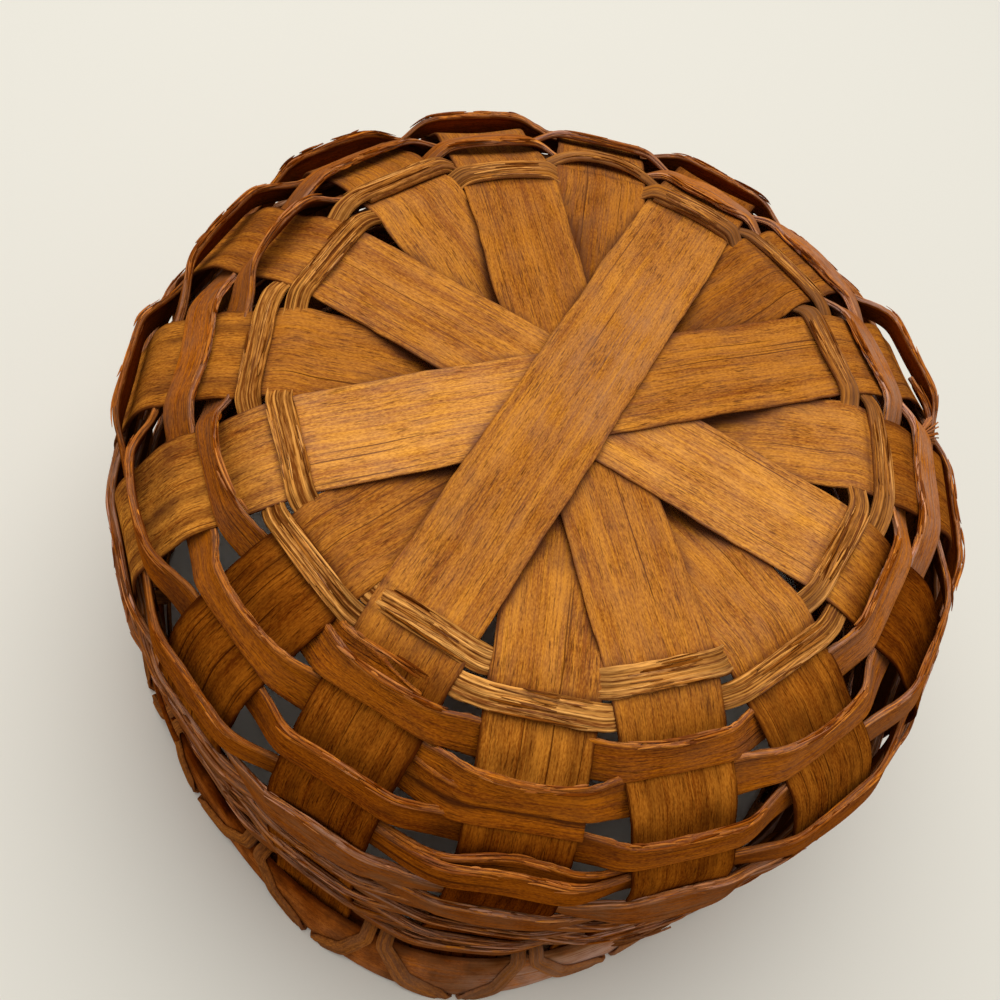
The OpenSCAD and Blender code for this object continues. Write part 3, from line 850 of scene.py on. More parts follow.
# How far each row has slipped towards the rim
ROW_SLIP = [-0.6, -1.6, 0.0, 2, 2.4, 1.6, 1.0, 0.6, 0.4, 0.2, 0.0, -0.4]
# The six rows nearest the base, at the stakes they pass over, from stake 0 or 1 round. Their stand is in
# degrees: the torn edge stands out where it is positive, and the edge nearest the rim where it is negative.
ROW_STAND = [
    [16, 2, -4, 8, 46, 42, 40, 36], [2, -6, 14, 12, 12, 38, 42, 40], [15, 34, 18, 25, 40, 36, 27, 24],
    [9, 14, 10, 36, 34, 8, 12, 6], [-8, 6, 6, 8, 6, 0, -13, -17], [-5, 3, 3, 3, 3, -4, -9, -9],
]
# Millimetres of air between the row and the stake
ROW_AIR = [
    [0.3, 0.8, 1.8, 2.2, 0.5, 0.5, 0.4, 0.4], [0.3, 1.0, 0.6, 0.8, 0.3, 0.3, 0.4, 0.4],
    [0.2, 0.2, 0.6, 0.6, 0.4, 0.6, 0.5, 0.5], [0.4, 0.6, 0.6, 0.2, 0.4, 0.4, 0.6, 0.5],
    [0.4, 0.4, 0.4, 0.4, 0.4, 0.4, 0.3, 0.3], [0.3, 0.3, 0.3, 0.3, 0.3, 0.3, 0.3, 0.3],
]
# Millimetres strayed towards the rim
ROW_STRAY = [
    [0, 1.5, -1, 0, -2.5, 0, 0, 0], [0, -0.5, 0, 0, -3, 0, -0.5, 0], [1.5, -7, 3, 3.5, -4, 1, -2, 0],
    [1.5, 2, 2, -5, -8, 0, -4, 0], [0, 0, 0, 0, 0, 0, -2, -2.5], [0, 0, 0, 0, 0, 0, 0, 0],
]
# Degrees by which they stand where they pass under a stake
STAND_UNDER = [16, 16, 20, 14, 6, 3]
# Bow and stand of the other rows over their stakes
ROW_BOW = 0.35
ROW_BOW_DRIFT = (0.25, 1, 41)
ROW_EVEN_STAND = 4
ROW_EVEN_STAND_DRIFT = (3, 1, 40)
WALL_LAPS = [12, 13, 2, 13, 6, 11, 10, 5, 14, 9, 6, 1]
# Sideways slip of the covered end at the lap, positive towards the rim, and where it ends across the stake
LAP_SLIP = [-3.0, 4.0, 1.0, -1.5, 2.2, -2.0, 2.5, 2.0, -2.2, 2.0, -2.0, 1.5]
LAP_END = [0.6, 0.95, -0.5, 2.5, 2.5, 2.5, 2.5, 2.5, 2.5, 2.5, 2.5, 2.5]
LAP_LENGTH = 30
LAP_RUN = 25
LAP_SLIP_RUN = 40
LAP_FLATTER = 0.7
# Room that a flat row needs under a stake where the shoulder bends, and where the wall is nearly straight
BEND_ROWS = 5
BEND_SAG = WALL_ROW_WIDTH ** 2 / 8 / SHOULDER_BEND
WALL_SAG = 0.1
# Unevenness: size, length over which it changes, and seed
STAND_DRIFT = (0.12, 45, 49)
ROW_PLACE_DRIFT = (0.6, 60, 42)
ROW_WIDTH_DRIFT = (0.07, 50, 43)
TORN_NICKS = (0.2, 1.8, 44)
TORN_WAVES = (0.4, 13, 45)
CLEAN_EDGE = (0.12, 5, 46)
FRAY_WAVES = (0.4, 12, 47)
FRAY_NICKS = (0.25, 2, 55)
FRAY_LAYERS = 40
BURST_WAVES = (0.5, 26, 52)
BURST_NICKS = (0.15, 7, 53)
ROW_RIPPLE = (0.1, 12, 48)
# Steps over which the path is softened
STAND_SOFTNESS = 3.0
LEVEL_SOFTNESS = 2.0
STRAY_SOFTNESS = 4.0
FLAT_SOFTNESS = 3.0
# The first rows are cleaner and paler, and less burst along the torn edge
CLEAN_ROWS = 4
CLEAN_BURST = 0.95
BURST = 1.35
BURST_WIDTH = 0.5
# The end of the first row tapers
TAPER_TIP = 0.15
TAPER_RUN = 20


def torn_section(count, rounding, layers):
    """The section of a strip with extra points down its torn edge, which come last."""
    side, height = strip_section(count, rounding)
    steps = np.linspace(-EDGE_HEIGHT, EDGE_HEIGHT, layers + 2)[1:-1]
    return np.concatenate([side, np.full(layers, -1.0)]), np.concatenate([height, steps])


TORN_LAYERS = 7
ROW_SIDE, ROW_HEIGHT = torn_section(13, 0.12, TORN_LAYERS)
ROW_TORN = np.arange(len(ROW_SIDE)) >= len(ROW_SIDE) - TORN_LAYERS
ROW_INNER_FACE = ROW_HEIGHT < -EDGE_HEIGHT

# Brightness of each row: the ones nearer the rim are darker
ROW_TONE = [1.0, 0.95, 0.86, 0.78, 0.66, 0.66, 0.7, 0.7, 0.7, 0.7, 0.7, 0.7]
ROW_TONE_DRIFT = (0.1, 120, 50)
# The inner faces are darkened with painted shade
INNER_FACE_SHADE = 0.5
# Bare fibres down the torn edge: how they vary, and how far they brighten it
TORN_WIDTH = 0.2
TORN_FIBRES = (1, 24, 51)
TORN_FINE_FIBRES = (0.4, 6, 56)
TORN_FIBRE_LAYERS = 15
TORN_TONE = 0.25
TORN_FIBRE_TONE = 0.3
CLEAN_TORN_GLOW = 1.3
TORN_GLOW = 2.8
TORN_GRAIN = 1.6
ROW_STAIN = 0.1
ROW_TUCKED_SHADE = 0.3
TORN_STAIN = 0.3
# The covered end of the second row has a painted shadow line where the edge of the strip over it lies:
# strength, and middle and spread across the row
LAP_SHADOW_STRENGTH = 1.4
LAP_SHADOW_LINE = (0.08, 0.09)
# Painted sheen lies on the far side, which is paler with it, dust lies at the left, and dust with painted
# sheen on all of the rows nearer the rim
SHEEN_ANGLE = math.radians(45)
SHEEN_POWER = 2.5
AWAY_SHEEN = 0.6
AWAY_SHEEN_TONE = (0.96, 0.26)
INNER_FACE_SHEEN = 0.2
LOW_ROW_DUST_AND_SHEEN = 0.5
TORN_DUST = 0.2
LEFT_DUST = 0.3
LEFT_DUST_ANGLE = math.radians(175)
LEFT_DUST_SPREAD = 0.8
ROW_NUMBER = 30.0
ROW_FIBRES = [320, 320, 380, 380, 360, 360, 240, 240, 200, 200, 160, 160]
ROW_FIBRE_SEED = 300
CLEAN_FIBRE_DUST = 0.2
LOW_FIBRE_DUST = 0.6


def row_marks(k, along, angle, crest, covered, width):
    """Grain and marks of a wall row."""
    torn = ease((-ROW_SIDE - 1 + TORN_WIDTH) / TORN_WIDTH)
    layer = TORN_FIBRE_LAYERS * ROW_HEIGHT + 5 * k
    fibres = uneven(TORN_FIBRES, along, layer) + uneven(TORN_FINE_FIBRES, along, layer)
    # Painted shade where the row passes under a stake
    stain_and_shade = ROW_STAIN + ROW_TUCKED_SHADE * (1 - crest) - TORN_STAIN * torn * fibres
    # Painted shadow of the lap's edge on the covered end of the second row
    if k == 1:
        stain_and_shade = stain_and_shade + LAP_SHADOW_STRENGTH * covered * bell(ROW_SIDE, *LAP_SHADOW_LINE)
    # Painted sheen, paler and greyer, on the side that faces the far right
    away = (0.5 + 0.5 * np.cos(angle - SHEEN_ANGLE)) ** SHEEN_POWER
    tone = ROW_TONE[k] * (1 + uneven(ROW_TONE_DRIFT, along, k))
    # Painted shade on the inner faces
    tone = tone * np.where(ROW_INNER_FACE, INNER_FACE_SHADE, 1)
    glow = CLEAN_TORN_GLOW if k < CLEAN_ROWS else TORN_GLOW
    tone = tone * (1 + torn * (TORN_TONE + TORN_FIBRE_TONE * fibres) * glow)
    tone = tone * (AWAY_SHEEN_TONE[0] + AWAY_SHEEN_TONE[1] * away)
    dust_and_sheen = AWAY_SHEEN * away * np.where(ROW_INNER_FACE, INNER_FACE_SHEEN, 1)
    dust_and_sheen = dust_and_sheen + (0 if k < CLEAN_ROWS else LOW_ROW_DUST_AND_SHEEN) + TORN_DUST * torn
    dust_and_sheen = dust_and_sheen + LEFT_DUST * hump(angle, LEFT_DUST_ANGLE, LEFT_DUST_SPREAD)
    edge_grain = TORN_GRAIN * (ROW_HEIGHT - EDGE_HEIGHT)
    grain_place = ROW_SIDE * width + np.where(ROW_TORN, edge_grain, INNER_FACE_GRAIN * ROW_INNER_FACE)
    return layered(along, grain_place, ROW_NUMBER + k), layered(ROW_SIDE, stain_and_shade, tone, dust_and_sheen)


LOOSE_SECTION = strip_section(7, 0.3)
LOOSE_POINTS = 14
LOOSE_POINT_START = 0.4
LOOSE_STAIN = 0.1
LOOSE_GRAIN = 11
UPRIGHT = np.array([0, 0, 1])


def loose_strip(stops, width, thickness, number, tint, dust_and_sheen, point):
    """A loose upright strip from the first of three stops to the last, bent towards the second. A stop is an
    angle in degrees, a radius and a height in the even basket. The strip narrows at its far end, to a share
    of its width."""
    t = np.linspace(0, 1, LOOSE_POINTS)
    before, between, after = ((1 - t) ** 2, 2 * t * (1 - t), t ** 2)
    degrees, radius, height = (before * a + between * b + after * c for a, b, c in zip(*stops))
    angle = np.radians(degrees)
    line = out_of_true(radius * np.cos(angle), radius * np.sin(angle), height)
    heading = np.gradient(line, axis=0)
    heading = heading / np.linalg.norm(heading, axis=1, keepdims=True)
    across = UPRIGHT - heading * (heading @ UPRIGHT)[:, None]
    across = across / np.linalg.norm(across, axis=1, keepdims=True)
    normal = np.cross(across, heading)
    side, level = LOOSE_SECTION
    narrowed = (1 - point) * ease((t - LOOSE_POINT_START) / (1 - LOOSE_POINT_START))
    half = (width / 2 * (1 - narrowed))[:, None]
    points = line[:, None] + across[:, None] * (side * half)[:, :, None]
    points = points + normal[:, None] * (level * thickness / 2)[None, :, None]
    along = t[:, None] * np.linalg.norm(line[-1] - line[0])
    grain = layered(along, side * half + LOOSE_GRAIN * number, number)
    marks = layered(0 * side, LOOSE_STAIN + 0 * t[:, None], tint, dust_and_sheen)
    return points, grain, marks


# Row 2 ends at the right in a fan of split fibres that spread from one root. Turns are in degrees.
# The end of row 9 stands away from the wall at the left, darkened with painted shade.
FAN_FIBRES = 34
FAN_NUMBER = 42.0
FAN_ROOT = (32.0, 101.0, 117.5)
FAN_ROOT_SPREAD = 0.3
FAN_STOPS = [0, 1, 2]
FAN_TURNS = [37.7, 34.4, 31.8]
FAN_RADII = [109.0, 108.6, 106.5]
FAN_RADIUS_SPREAD = (-1.0, 1.8)
FAN_HEIGHTS = (116.5, 118.5)
FAN_BEND_TURN = 0.3
FAN_BEND_HEIGHT = 0.8
FAN_WIDTHS = (0.5, 1.0)
FAN_TINT = 1.25
FAN_TINT_FALL = 0.3
FAN_TINT_SPREAD = 0.15
FRAYED_END = []
fray_rng = np.random.default_rng(57)
for i in range(FAN_FIBRES):
    share = fray_rng.uniform(FAN_STOPS[0], FAN_STOPS[-1])
    turn = np.interp(share, FAN_STOPS, FAN_TURNS)
    radius = np.interp(share, FAN_STOPS, FAN_RADII) + fray_rng.uniform(*FAN_RADIUS_SPREAD)
    high = fray_rng.uniform(*FAN_HEIGHTS)
    root = (FAN_ROOT[0] + FAN_ROOT_SPREAD * (1 - share), FAN_ROOT[1], FAN_ROOT[2])
    tip = (turn, radius, high)
    between = [(a + b) / 2 + more for a, b, more in zip(root, tip, (FAN_BEND_TURN, 0, FAN_BEND_HEIGHT))]
    tint = FAN_TINT - FAN_TINT_FALL * share + fray_rng.uniform(-FAN_TINT_SPREAD, FAN_TINT_SPREAD)
    width = fray_rng.uniform(*FAN_WIDTHS)
    FRAYED_END.append(loose_strip(
        [root, between, tip], width, thickness=0.4, number=FAN_NUMBER + i,
        tint=tint, dust_and_sheen=0.5, point=0.2,
    ))
TAIL_STOPS = [(-131, 119.8, 52), (-122.2, 124.2, 50), (-116.8, 124.6, 45)]
# The tail is painted darker for shade
LOOSE_TAIL = [loose_strip(TAIL_STOPS, width=8.0, thickness=1.2, number=48.0, tint=0.5, dust_and_sheen=0.1, point=0.75)]
ROW_ENDS = {1: FRAYED_END, 8: LOOSE_TAIL}

for k in range(len(WALL_LAPS)):
    middle = WALL_ROWS_START + (k + 0.5) * WALL_ROW_PITCH + ROW_SLIP[k]
    stakes = np.arange(STAKES)
    bow = ROW_BOW + uneven(ROW_BOW_DRIFT, stakes, 3 * k)
    stand_over = ROW_EVEN_STAND + uneven(ROW_EVEN_STAND_DRIFT, stakes, 3 * k)
    stand_under = 0
    stray = np.zeros(STAKES)
    if k < len(ROW_STAND):
        bow[k % 2::2] = ROW_AIR[k]
        stand_over[k % 2::2] = ROW_STAND[k]
        stand_under = STAND_UNDER[k]
        stray[k % 2::2] = ROW_STRAY[k]
    sag = BEND_SAG if k < BEND_ROWS else WALL_SAG
    angle, level, crest, outside, flat, owner = woven_path(
        middle, sag, WALL_LAPS[k], bow, LAP_END[k], WALL_ROW_STEP
    )
    along = (angle - angle[0]) * reach(middle)
    left = along[-1] - along
    covered = 1 - ease((left - LAP_LENGTH) / LAP_RUN)
    stand = stand_under + (stand_over[owner] * (1 - LAP_FLATTER * covered) - stand_under) * crest
    stand = softened(stand * (1 + uneven(STAND_DRIFT, along, k)), STAND_SOFTNESS)
    twist = np.radians(stand)
    lifted = WALL_ROW_WIDTH / 2 * np.abs(np.sin(twist)) * softened(outside, STAND_SOFTNESS)
    level = softened(level, LEVEL_SOFTNESS) + lifted
    strayed = stray[owner] * crest + WALL_ROW_WIDTH / 2 * (1 - np.cos(twist)) * outside
    strayed = softened(strayed, STRAY_SOFTNESS)
    flat = softened(flat, FLAT_SOFTNESS)
    columns = (angle, level, crest, flat, twist, strayed, along, left, covered)
    angle, level, crest, flat, twist, strayed, along, left, covered = (values[:, None] for values in columns)
    slipped = LAP_SLIP[k] * (1 - ease((left - LAP_LENGTH) / LAP_SLIP_RUN))
    place = middle + strayed + uneven(ROW_PLACE_DRIFT, along, k) + slipped
    width = WALL_ROW_WIDTH / 2 * (1 + uneven(ROW_WIDTH_DRIFT, along, k))
    torn_edge = uneven(TORN_NICKS, along, k) + uneven(TORN_WAVES, along, k)
    width = width + np.where(ROW_SIDE < 0, torn_edge, uneven(CLEAN_EDGE, along, k))
    if k == 0:
        width = width * (TAPER_TIP + (1 - TAPER_TIP) * ease(left / TAPER_RUN))
    layer = FRAY_LAYERS * ROW_HEIGHT
    fray = uneven(FRAY_WAVES, along, layer + 7 * k) + uneven(FRAY_NICKS, along, layer)
    fray = np.where(ROW_TORN, fray, 0)
    burst = CLEAN_BURST if k < CLEAN_ROWS else BURST
    burst = burst + uneven(BURST_WAVES, along, k) + uneven(BURST_NICKS, along, k)
    thickness = WEAVER_THICKNESS * (1 + burst * ease((-ROW_SIDE - 1 + BURST_WIDTH) / BURST_WIDTH))
    out = ROW_HEIGHT * thickness / 2 + uneven(ROW_RIPPLE, along, 2 * ROW_SIDE + 9 * k)
    points = woven_points(place, angle, level, flat, twist, ROW_SIDE * width + fray, out)
    grain, marks = row_marks(k, along, angle, crest, covered, width)
    path = [values[:, 0] for values in (along, place, angle, level, flat, twist)]
    fibres = split_fibres(
        path, crest[:, 0], ROW_FIBRES[k], ROW_FIBRE_SEED + k, lengths=(2, 14), across_range=(-5.1, -3.6),
        out_range=(-0.6, 1.1), lift=0.45, number=ROW_NUMBER + k,
        dust_and_sheen=CLEAN_FIBRE_DUST if k < CLEAN_ROWS else LOW_FIBRE_DUST,
    )
    strips = [(points, grain, marks)] + fibres + ROW_ENDS.get(k, [])
    piece = strip_object("woven_row_%02d" % (k + 1), strips, row_wood)
    fasten(piece, "wall_row_%02d" % (k + 1))


# Rim hoops: one flat wooden band outside the stake ends and one inside, each bent round and scarfed shut.
# The lashing holds them together with the stakes between.

hoop_wood = wood_material(
    "hoop_wood", linear(194, 112, 44), linear(124, 60, 17), linear(54, 20, 5),
    lines=1.4, flecks=0.4, streaks=1.2, stain_and_shade_share=0.7, torn=0.0, relief=0.0004,
)

HOOP_THICKNESS = 2.0
HOOP_STEP = 2.0
HOOP_SECTION = strip_section(14, 0.12)
# Node and angle of the scarf joint in degrees
HOOPS = [("rim_hoop_outer", 200), ("rim_hoop_inner", 20)]
# The scarf: its length, the thickness of its tips, and how far the closing end rises over the other
SCARF = 24.0
SCARF_TIP = 0.25
SCARF_RISE = 1.7
HOOP_INSET = 0.1
EDGE_INSET = 0.2
# Unevenness: size, length over which it changes, and seed
HOOP_EDGE_WAVES = (0.45, 30, 61)
HOOP_EDGE_NICKS = (0.1, 5, 62)
HOOP_RIPPLE = (0.1, 25, 63)
# Stains mottled all over, and painted shade: darker towards the base, where the hoop meets the rows
HOOP_STAIN = 0.3
HOOP_BASE_SHADE = 0.3
HOOP_STAIN_DRIFT = (0.2, 20, 64)
HOOP_MOTTLE = (0.5, 2.5, 67)
# Brightness at the edge nearest the base and its rise towards the rim edge: painted shade above, lighter
# below
HOOP_TONE = 0.38
HOOP_RIM_TONE = 0.44
HOOP_TONE_DRIFT = (0.26, 6, 66)
# The front right is rubbed pale, with painted sheen, and dust with painted light lies along the lower edge
RUBBED_ANGLE = math.radians(-42)
RUBBED_SPREAD = 0.3
RUBBED_MOTTLE = (0.5, 3.5, 65)
RUBBED_TONE_AND_SHEEN = 0.4
RUBBED_DUST_AND_SHEEN = 1.5
HOOP_DUST = 0.05
HOOP_EDGE_DUST_AND_LIGHT = 0.4
HOOP_NUMBER = 50.0

for number, (node, joint) in enumerate(HOOPS):
    low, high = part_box(node)
    outer_radius = high.x / MM
    inner_radius = outer_radius - HOOP_THICKNESS
    lap_angle = SCARF / outer_radius
    start = math.radians(joint) - lap_angle / 2
    count = int(2 * math.pi * outer_radius / HOOP_STEP)
    angle = np.linspace(start, start + 2 * math.pi + lap_angle, count)[:, None]
    side, height = HOOP_SECTION
    opening = np.clip((angle - start) / lap_angle, 0, 1)
    closing = np.clip((angle - start - 2 * math.pi) / lap_angle, 0, 1)
    outside = inner_radius + SCARF_TIP + (HOOP_THICKNESS - SCARF_TIP) * opening
    inside = inner_radius + HOOP_INSET + SCARF_RISE * closing + np.where(closing > 0, SCARF_TIP, 0)
    along = (angle - start) * outer_radius
    edge = uneven(HOOP_EDGE_WAVES, along, 3 * np.sign(side) + number)
    edge = edge + uneven(HOOP_EDGE_NICKS, along, np.sign(side))
    middle_z = (low.z + high.z) / 2 / MM
    half = (high.z - low.z) / 2 / MM
    ripple = uneven(HOOP_RIPPLE, along, 2 * side + 6 * number)
    r = (outside + inside) / 2 + height * (outside - inside) / 2 + ripple
    z = middle_z - side * (half - EDGE_INSET + edge)
    points = out_of_true(r * np.cos(angle), r * np.sin(angle), z)
    grain = layered(along, side * half + INNER_FACE_GRAIN * (height < 0), HOOP_NUMBER + number)
    rubbed = hump(angle, RUBBED_ANGLE, RUBBED_SPREAD)
    # Painted shade towards the base, under the rows
    stain_and_shade = HOOP_STAIN + HOOP_BASE_SHADE * ease((-side - 0.1) / 0.9)
    stain_and_shade = stain_and_shade + uneven(HOOP_STAIN_DRIFT, along, number)
    stain_and_shade = stain_and_shade + uneven(HOOP_MOTTLE, along, 1.5 * side + 9 * number)
    stain_and_shade = stain_and_shade + rubbed * uneven(RUBBED_MOTTLE, along, number)
    # Painted shade: darker at the edge nearest the base, lighter towards the rim edge
    tint = HOOP_TONE + HOOP_RIM_TONE * ease((side + 1) / 1.1) + uneven(HOOP_TONE_DRIFT, along, 2 * side)
    # Wear with painted sheen at the front right, and dust with painted light along the lower edge
    tint = tint + RUBBED_TONE_AND_SHEEN * rubbed
    dust_and_sheen = HOOP_DUST + RUBBED_DUST_AND_SHEEN * rubbed + HOOP_EDGE_DUST_AND_LIGHT * ease((side - 0.5) / 0.5)
    piece = strip_object(node + "_band", [(points, grain, layered(side, stain_and_shade, tint, dust_and_sheen))], hoop_wood)
    fasten(piece, node)


# Rim lashing: two narrow split strips wound over both hoops, once for each stake, in opposite directions.
# They pass through the gaps between the stakes and make a row of slanted crosses round the rim.

lash_wood = wood_material(
    "lash_wood", linear(176, 106, 42), linear(104, 54, 18), linear(50, 20, 5),
    lines=2.2, flecks=0.4, streaks=1.0, stain_and_shade_share=0.6, torn=0.0, relief=0.0005,
)

LASH_WIDTH = 4.8
LASH_THICKNESS = 0.8
LASH_SECTION = strip_section(15, 0.2)
LASH_STEP = 0.9
LASH_GAP = 0.3
LASH_END_GAP = 0.3
LASH_SOFTNESS = 0.8
# Each turn is cut short by this at its corners, and its outer leg bends at a share of its slant, this far up
LASH_CORNER = 1.0
KNEE_SHARE = 0.4
KNEE_HEIGHT = 5.0
# How far each turn lies to the side of its even place, as a share of a stake step, above and below
lash_rng = np.random.default_rng(70)
LASH_TOP = lash_rng.uniform(-0.06, 0.06, STAKES)
LASH_BOTTOM = lash_rng.uniform(-0.16, 0.16, STAKES)
# Unevenness: size, length over which it changes, and seed
LASH_WIDTH_DRIFT = (0.08, 30, 71)
LASH_EDGE_NICKS = (0.12, 4, 72)
LASH_STAIN_DRIFT = (0.3, 12, 73)
LASH_RIDGES = 3.1
LASH_RIDGE_SWAY = (0.6, 25, 74)
LASH_RIDGE_LENGTH = 50
LASH_RIDGE_SEED = 75
LASH_RIDGE_HEIGHT = 0.25
LASH_CROWN = 0.45
LASH_STAIN = 0.25
LASH_EDGE_STAIN = 0.15
LASH_EDGE_WIDTH = 0.2
LASH_GROOVE_DARKER = 0.5
LASH_DUST = 0.1
LASH_RUBBED_DUST_AND_SHEEN = 0.5
LASH_RUBBED_SPREAD = 0.4
LASH_NUMBER = 60.0


def lash_turn(deep, above, below, next_above):
    """Stops of one turn of the lashing: shares of a stake step, radii and heights."""
    low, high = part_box("rim_hoop_outer")
    out_r = high.x / MM + CLEARANCE + LASH_THICKNESS / 2
    in_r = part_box("rim_hoop_inner")[1].x / MM - HOOP_THICKNESS - CLEARANCE - LASH_THICKNESS / 2
    in_r = in_r - deep * (LASH_THICKNESS + CLEARANCE)
    low_z = LASH_THICKNESS / 2
    high_z = high.z / MM + CLEARANCE + LASH_THICKNESS / 2
    slip = (LASH_WIDTH / 2 + LASH_GAP) / (in_r - LASH_THICKNESS) / STAKE_STEP
    top = 0.5 + slip + above
    bottom = 1 - slip + below
    after = 1.5 + slip + next_above
    knee = (1 - KNEE_SHARE) * top + KNEE_SHARE * bottom
    return [
        (top, out_r, high_z - LASH_CORNER), (knee, out_r, low_z + KNEE_HEIGHT),
        (bottom, out_r, low_z + LASH_CORNER), (bottom, out_r - LASH_CORNER, low_z),
        (bottom, in_r + LASH_CORNER, low_z), (bottom, in_r, low_z + LASH_CORNER),
        (after, in_r, high_z - LASH_CORNER), (after, in_r + LASH_CORNER, high_z),
        (after, out_r - LASH_CORNER, high_z),
    ]


# The forward strip ends at the front right in a short tuft: turns in degrees, radii and heights
TUFT_FIBRES = 18
TUFT_NUMBER = 62.0
TUFT_ROOT_TURN = -43.0
TUFT_ROOT_RADIUS = 121.5
TUFT_ROOT_HEIGHTS = (6.0, 10.0)
TUFT_BEND_RADIUS = 125.5
TUFT_TIP_TURNS = (-38.0, -32.5)
TUFT_TIP_RADII = (122.5, 126.0)
TUFT_TIP_HEIGHTS = (7.0, 12.0)
TUFT_TINTS = (0.5, 1.3)
LASH_END = []
tuft_rng = np.random.default_rng(76)
for i in range(TUFT_FIBRES):
    root_turn = TUFT_ROOT_TURN + tuft_rng.uniform(-1, 1)
    root = (root_turn, TUFT_ROOT_RADIUS, tuft_rng.uniform(*TUFT_ROOT_HEIGHTS))
    tip = [tuft_rng.uniform(*limits) for limits in (TUFT_TIP_TURNS, TUFT_TIP_RADII, TUFT_TIP_HEIGHTS)]
    between = ((root[0] + tip[0]) / 2, TUFT_BEND_RADIUS, (root[2] + tip[2]) / 2)
    tint = tuft_rng.uniform(*TUFT_TINTS)
    LASH_END.append(loose_strip(
        [root, between, tip], width=1.3, thickness=0.6, number=TUFT_NUMBER + i,
        tint=tint, dust_and_sheen=0.4, point=0.3,
    ))

for number, node in enumerate(("rim_lashing_forward", "rim_lashing_back")):
    way = 1 if number == 0 else -1
    turns = np.arange(STAKES)
    above = LASH_TOP if number == 0 else -LASH_TOP[(-turns - 1) % STAKES]
    below = LASH_BOTTOM if number == 0 else -LASH_BOTTOM[(-turns - 2) % STAKES]
    stops = []
    for i in range(STAKES):
        turn_stops = lash_turn(number, above[i], below[i], above[(i + 1) % STAKES])
        stops += [((i + share) * STAKE_STEP, r, z) for share, r, z in turn_stops]
    stops.append((stops[0][0] + 2 * math.pi, stops[0][1], stops[0][2]))
    stops = np.array(stops)
    gaps = np.linalg.norm(np.diff(stops * [WALL_RADIUS, 1, 1], axis=0), axis=1)
    run = np.concatenate([[0], np.cumsum(gaps)])
    along = np.arange(0, run[-1] - LASH_END_GAP, LASH_STEP)
    angle, r, z = (softened(np.interp(along, run, stops[:, c]), LASH_SOFTNESS) for c in range(3))
    steps = np.stack([np.gradient(r), np.gradient(z)], -1)
    outward = np.stack([-steps[:, 1], steps[:, 0]], -1)
    outward = outward / np.maximum(np.linalg.norm(outward, axis=1, keepdims=True), 1e-6)
    heading = np.stack([np.gradient(angle) * r, steps[:, 0], steps[:, 1]], -1)
    heading = heading / np.linalg.norm(heading, axis=1, keepdims=True)
    level = np.stack([0 * r, outward[:, 0], outward[:, 1]], -1)
    breadth = np.cross(level, heading)
    breadth = breadth / np.linalg.norm(breadth, axis=1, keepdims=True)
    along, angle, r, z = (values[:, None] for values in (along, angle, r, z))
    side, height = LASH_SECTION
    width = LASH_WIDTH / 2 * (1 + uneven(LASH_WIDTH_DRIFT, along, number))
    width = width + uneven(LASH_EDGE_NICKS, along, np.sign(side) + 4 * number)
    across = LASH_RIDGES * side + uneven(LASH_RIDGE_SWAY, along, number)
    ridge = wander(across, along / LASH_RIDGE_LENGTH, LASH_RIDGE_SEED)
    raised = LASH_CROWN * (1 - side ** 2) + LASH_RIDGE_HEIGHT * ridge
    lift = height * LASH_THICKNESS / 2 + raised * (height > 0)
    rr = r + outward[:, :1] * lift + breadth[:, 1:2] * side * width
    zz = np.maximum(z + outward[:, 1:] * lift + breadth[:, 2:] * side * width, 0)
    turn = way * (angle + breadth[:, :1] * side * width / r)
    points = out_of_true(rr * np.cos(turn), rr * np.sin(turn), zz)
    grain = layered(along, side * width, LASH_NUMBER + number)
    stain_and_shade = LASH_STAIN + uneven(LASH_STAIN_DRIFT, along, number)
    # Darker in the grooves between the ridges
    stain_and_shade = stain_and_shade + LASH_EDGE_STAIN * near_edges(side, LASH_EDGE_WIDTH) - LASH_GROOVE_DARKER * ridge
    # Dust, and wear with painted sheen at the front right
    dust_and_sheen = LASH_DUST + LASH_RUBBED_DUST_AND_SHEEN * hump(turn, RUBBED_ANGLE, LASH_RUBBED_SPREAD)
    marks = layered(side, stain_and_shade, 1.0, dust_and_sheen)
    ends = LASH_END if number == 0 else []
    piece = strip_object(node + "_strip", [(points, grain, marks)] + ends, lash_wood)
    fasten(piece, node)


# Floor, light and camera: a plain pale table that the rim stands on, and a wide soft light overhead.
# The camera looks from the photograph's angle.

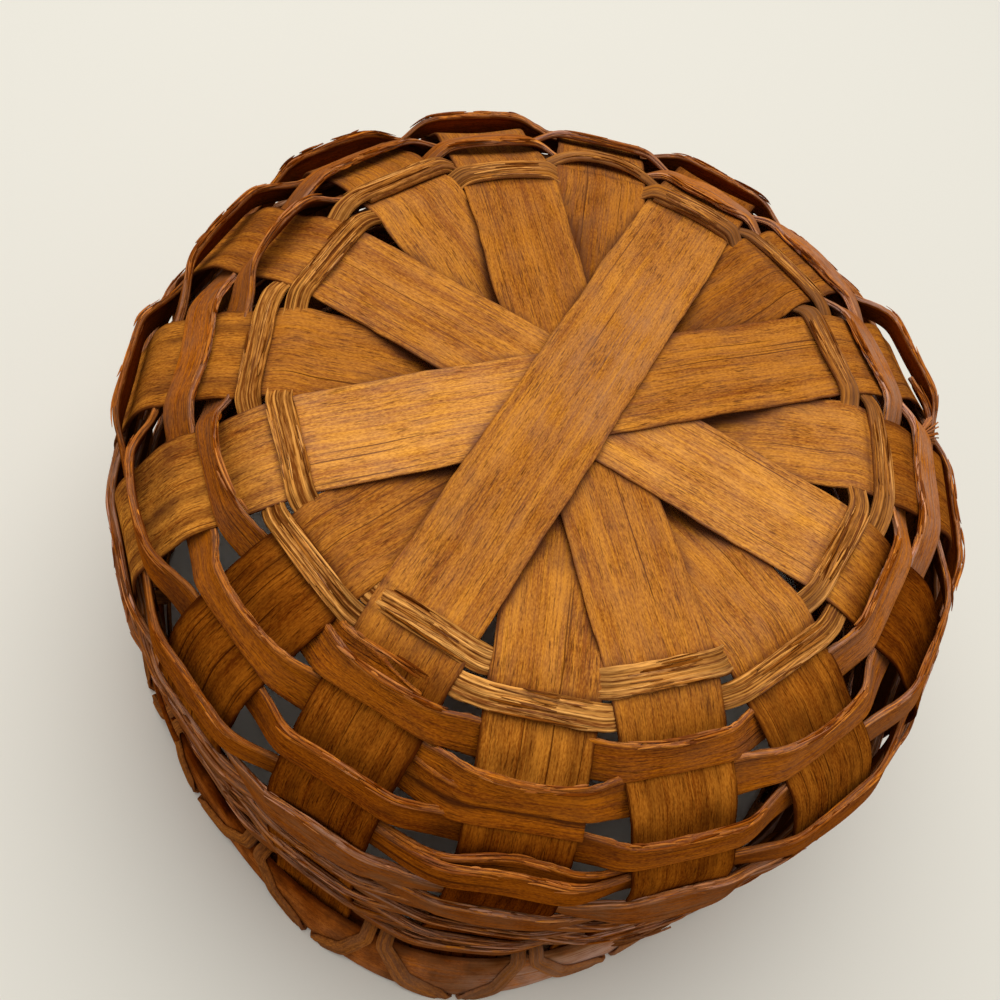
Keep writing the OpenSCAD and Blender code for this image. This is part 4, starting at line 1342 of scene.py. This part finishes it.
FLOOR_HALF = 3.0
FLOOR_CORNERS = [(-1, -1), (1, -1), (1, 1), (-1, 1)]
floor_mesh = bpy.data.meshes.new("floor")
floor_mesh.from_pydata([(x * FLOOR_HALF, y * FLOOR_HALF, 0) for x, y in FLOOR_CORNERS], [], [(0, 1, 2, 3)])
floor = bpy.data.objects.new("floor", floor_mesh)
bpy.context.scene.collection.objects.link(floor)
floor_paint = bpy.data.materials.new("floor_paint")
floor_paint.use_nodes = True
floor_shader = floor_paint.node_tree.nodes["Principled BSDF"]
floor_shader.inputs["Base Color"].default_value = linear(235, 234, 226)
floor_shader.inputs["Roughness"].default_value = 0.6
floor_mesh.materials.append(floor_paint)

world = bpy.data.worlds.new("room_light")
world.use_nodes = True
world.node_tree.nodes["Background"].inputs["Color"].default_value = (1.0, 0.98, 0.95, 1)
world.node_tree.nodes["Background"].inputs["Strength"].default_value = 0.42
bpy.context.scene.world = world

LAMP_PLACE = Vector((-0.24, 0.36, 1.45))
LAMP_AIM = Vector((0, 0, 0.1))
lamp = bpy.data.lights.new("ceiling_light", "AREA")
lamp.shape = "DISK"
lamp.size = 1.8
lamp.energy = 18.2
lamp.color = (1.0, 0.97, 0.92)
lamp_object = bpy.data.objects.new("ceiling_light", lamp)
lamp_object.location = LAMP_PLACE
lamp_object.rotation_euler = (LAMP_AIM - LAMP_PLACE).to_track_quat("-Z", "Y").to_euler()
bpy.context.scene.collection.objects.link(lamp_object)

CAMERA_PLACE = Vector((0.0214, -0.17113, 0.3685)) - Vector((LEAN[0], LEAN[1], 0)) * MM / 2
CAMERA_RIGHT = Vector((0.85919, 0.47907, 0.17971))
CAMERA_UP = Vector((-0.50407, 0.73222, 0.458))
CAMERA_BACK = Vector((0.08782, -0.48409, 0.8706))
camera_data = bpy.data.cameras.new("camera")
camera_data.lens = 40.6
camera_data.sensor_width = 36.0
camera = bpy.data.objects.new("camera", camera_data)
axes = Matrix((CAMERA_RIGHT, CAMERA_UP, CAMERA_BACK)).transposed().to_4x4()
camera.matrix_world = Matrix.Translation(CAMERA_PLACE) @ axes
bpy.context.scene.collection.objects.link(camera)
bpy.context.scene.camera = camera
bpy.context.scene.view_settings.view_transform = "Standard"
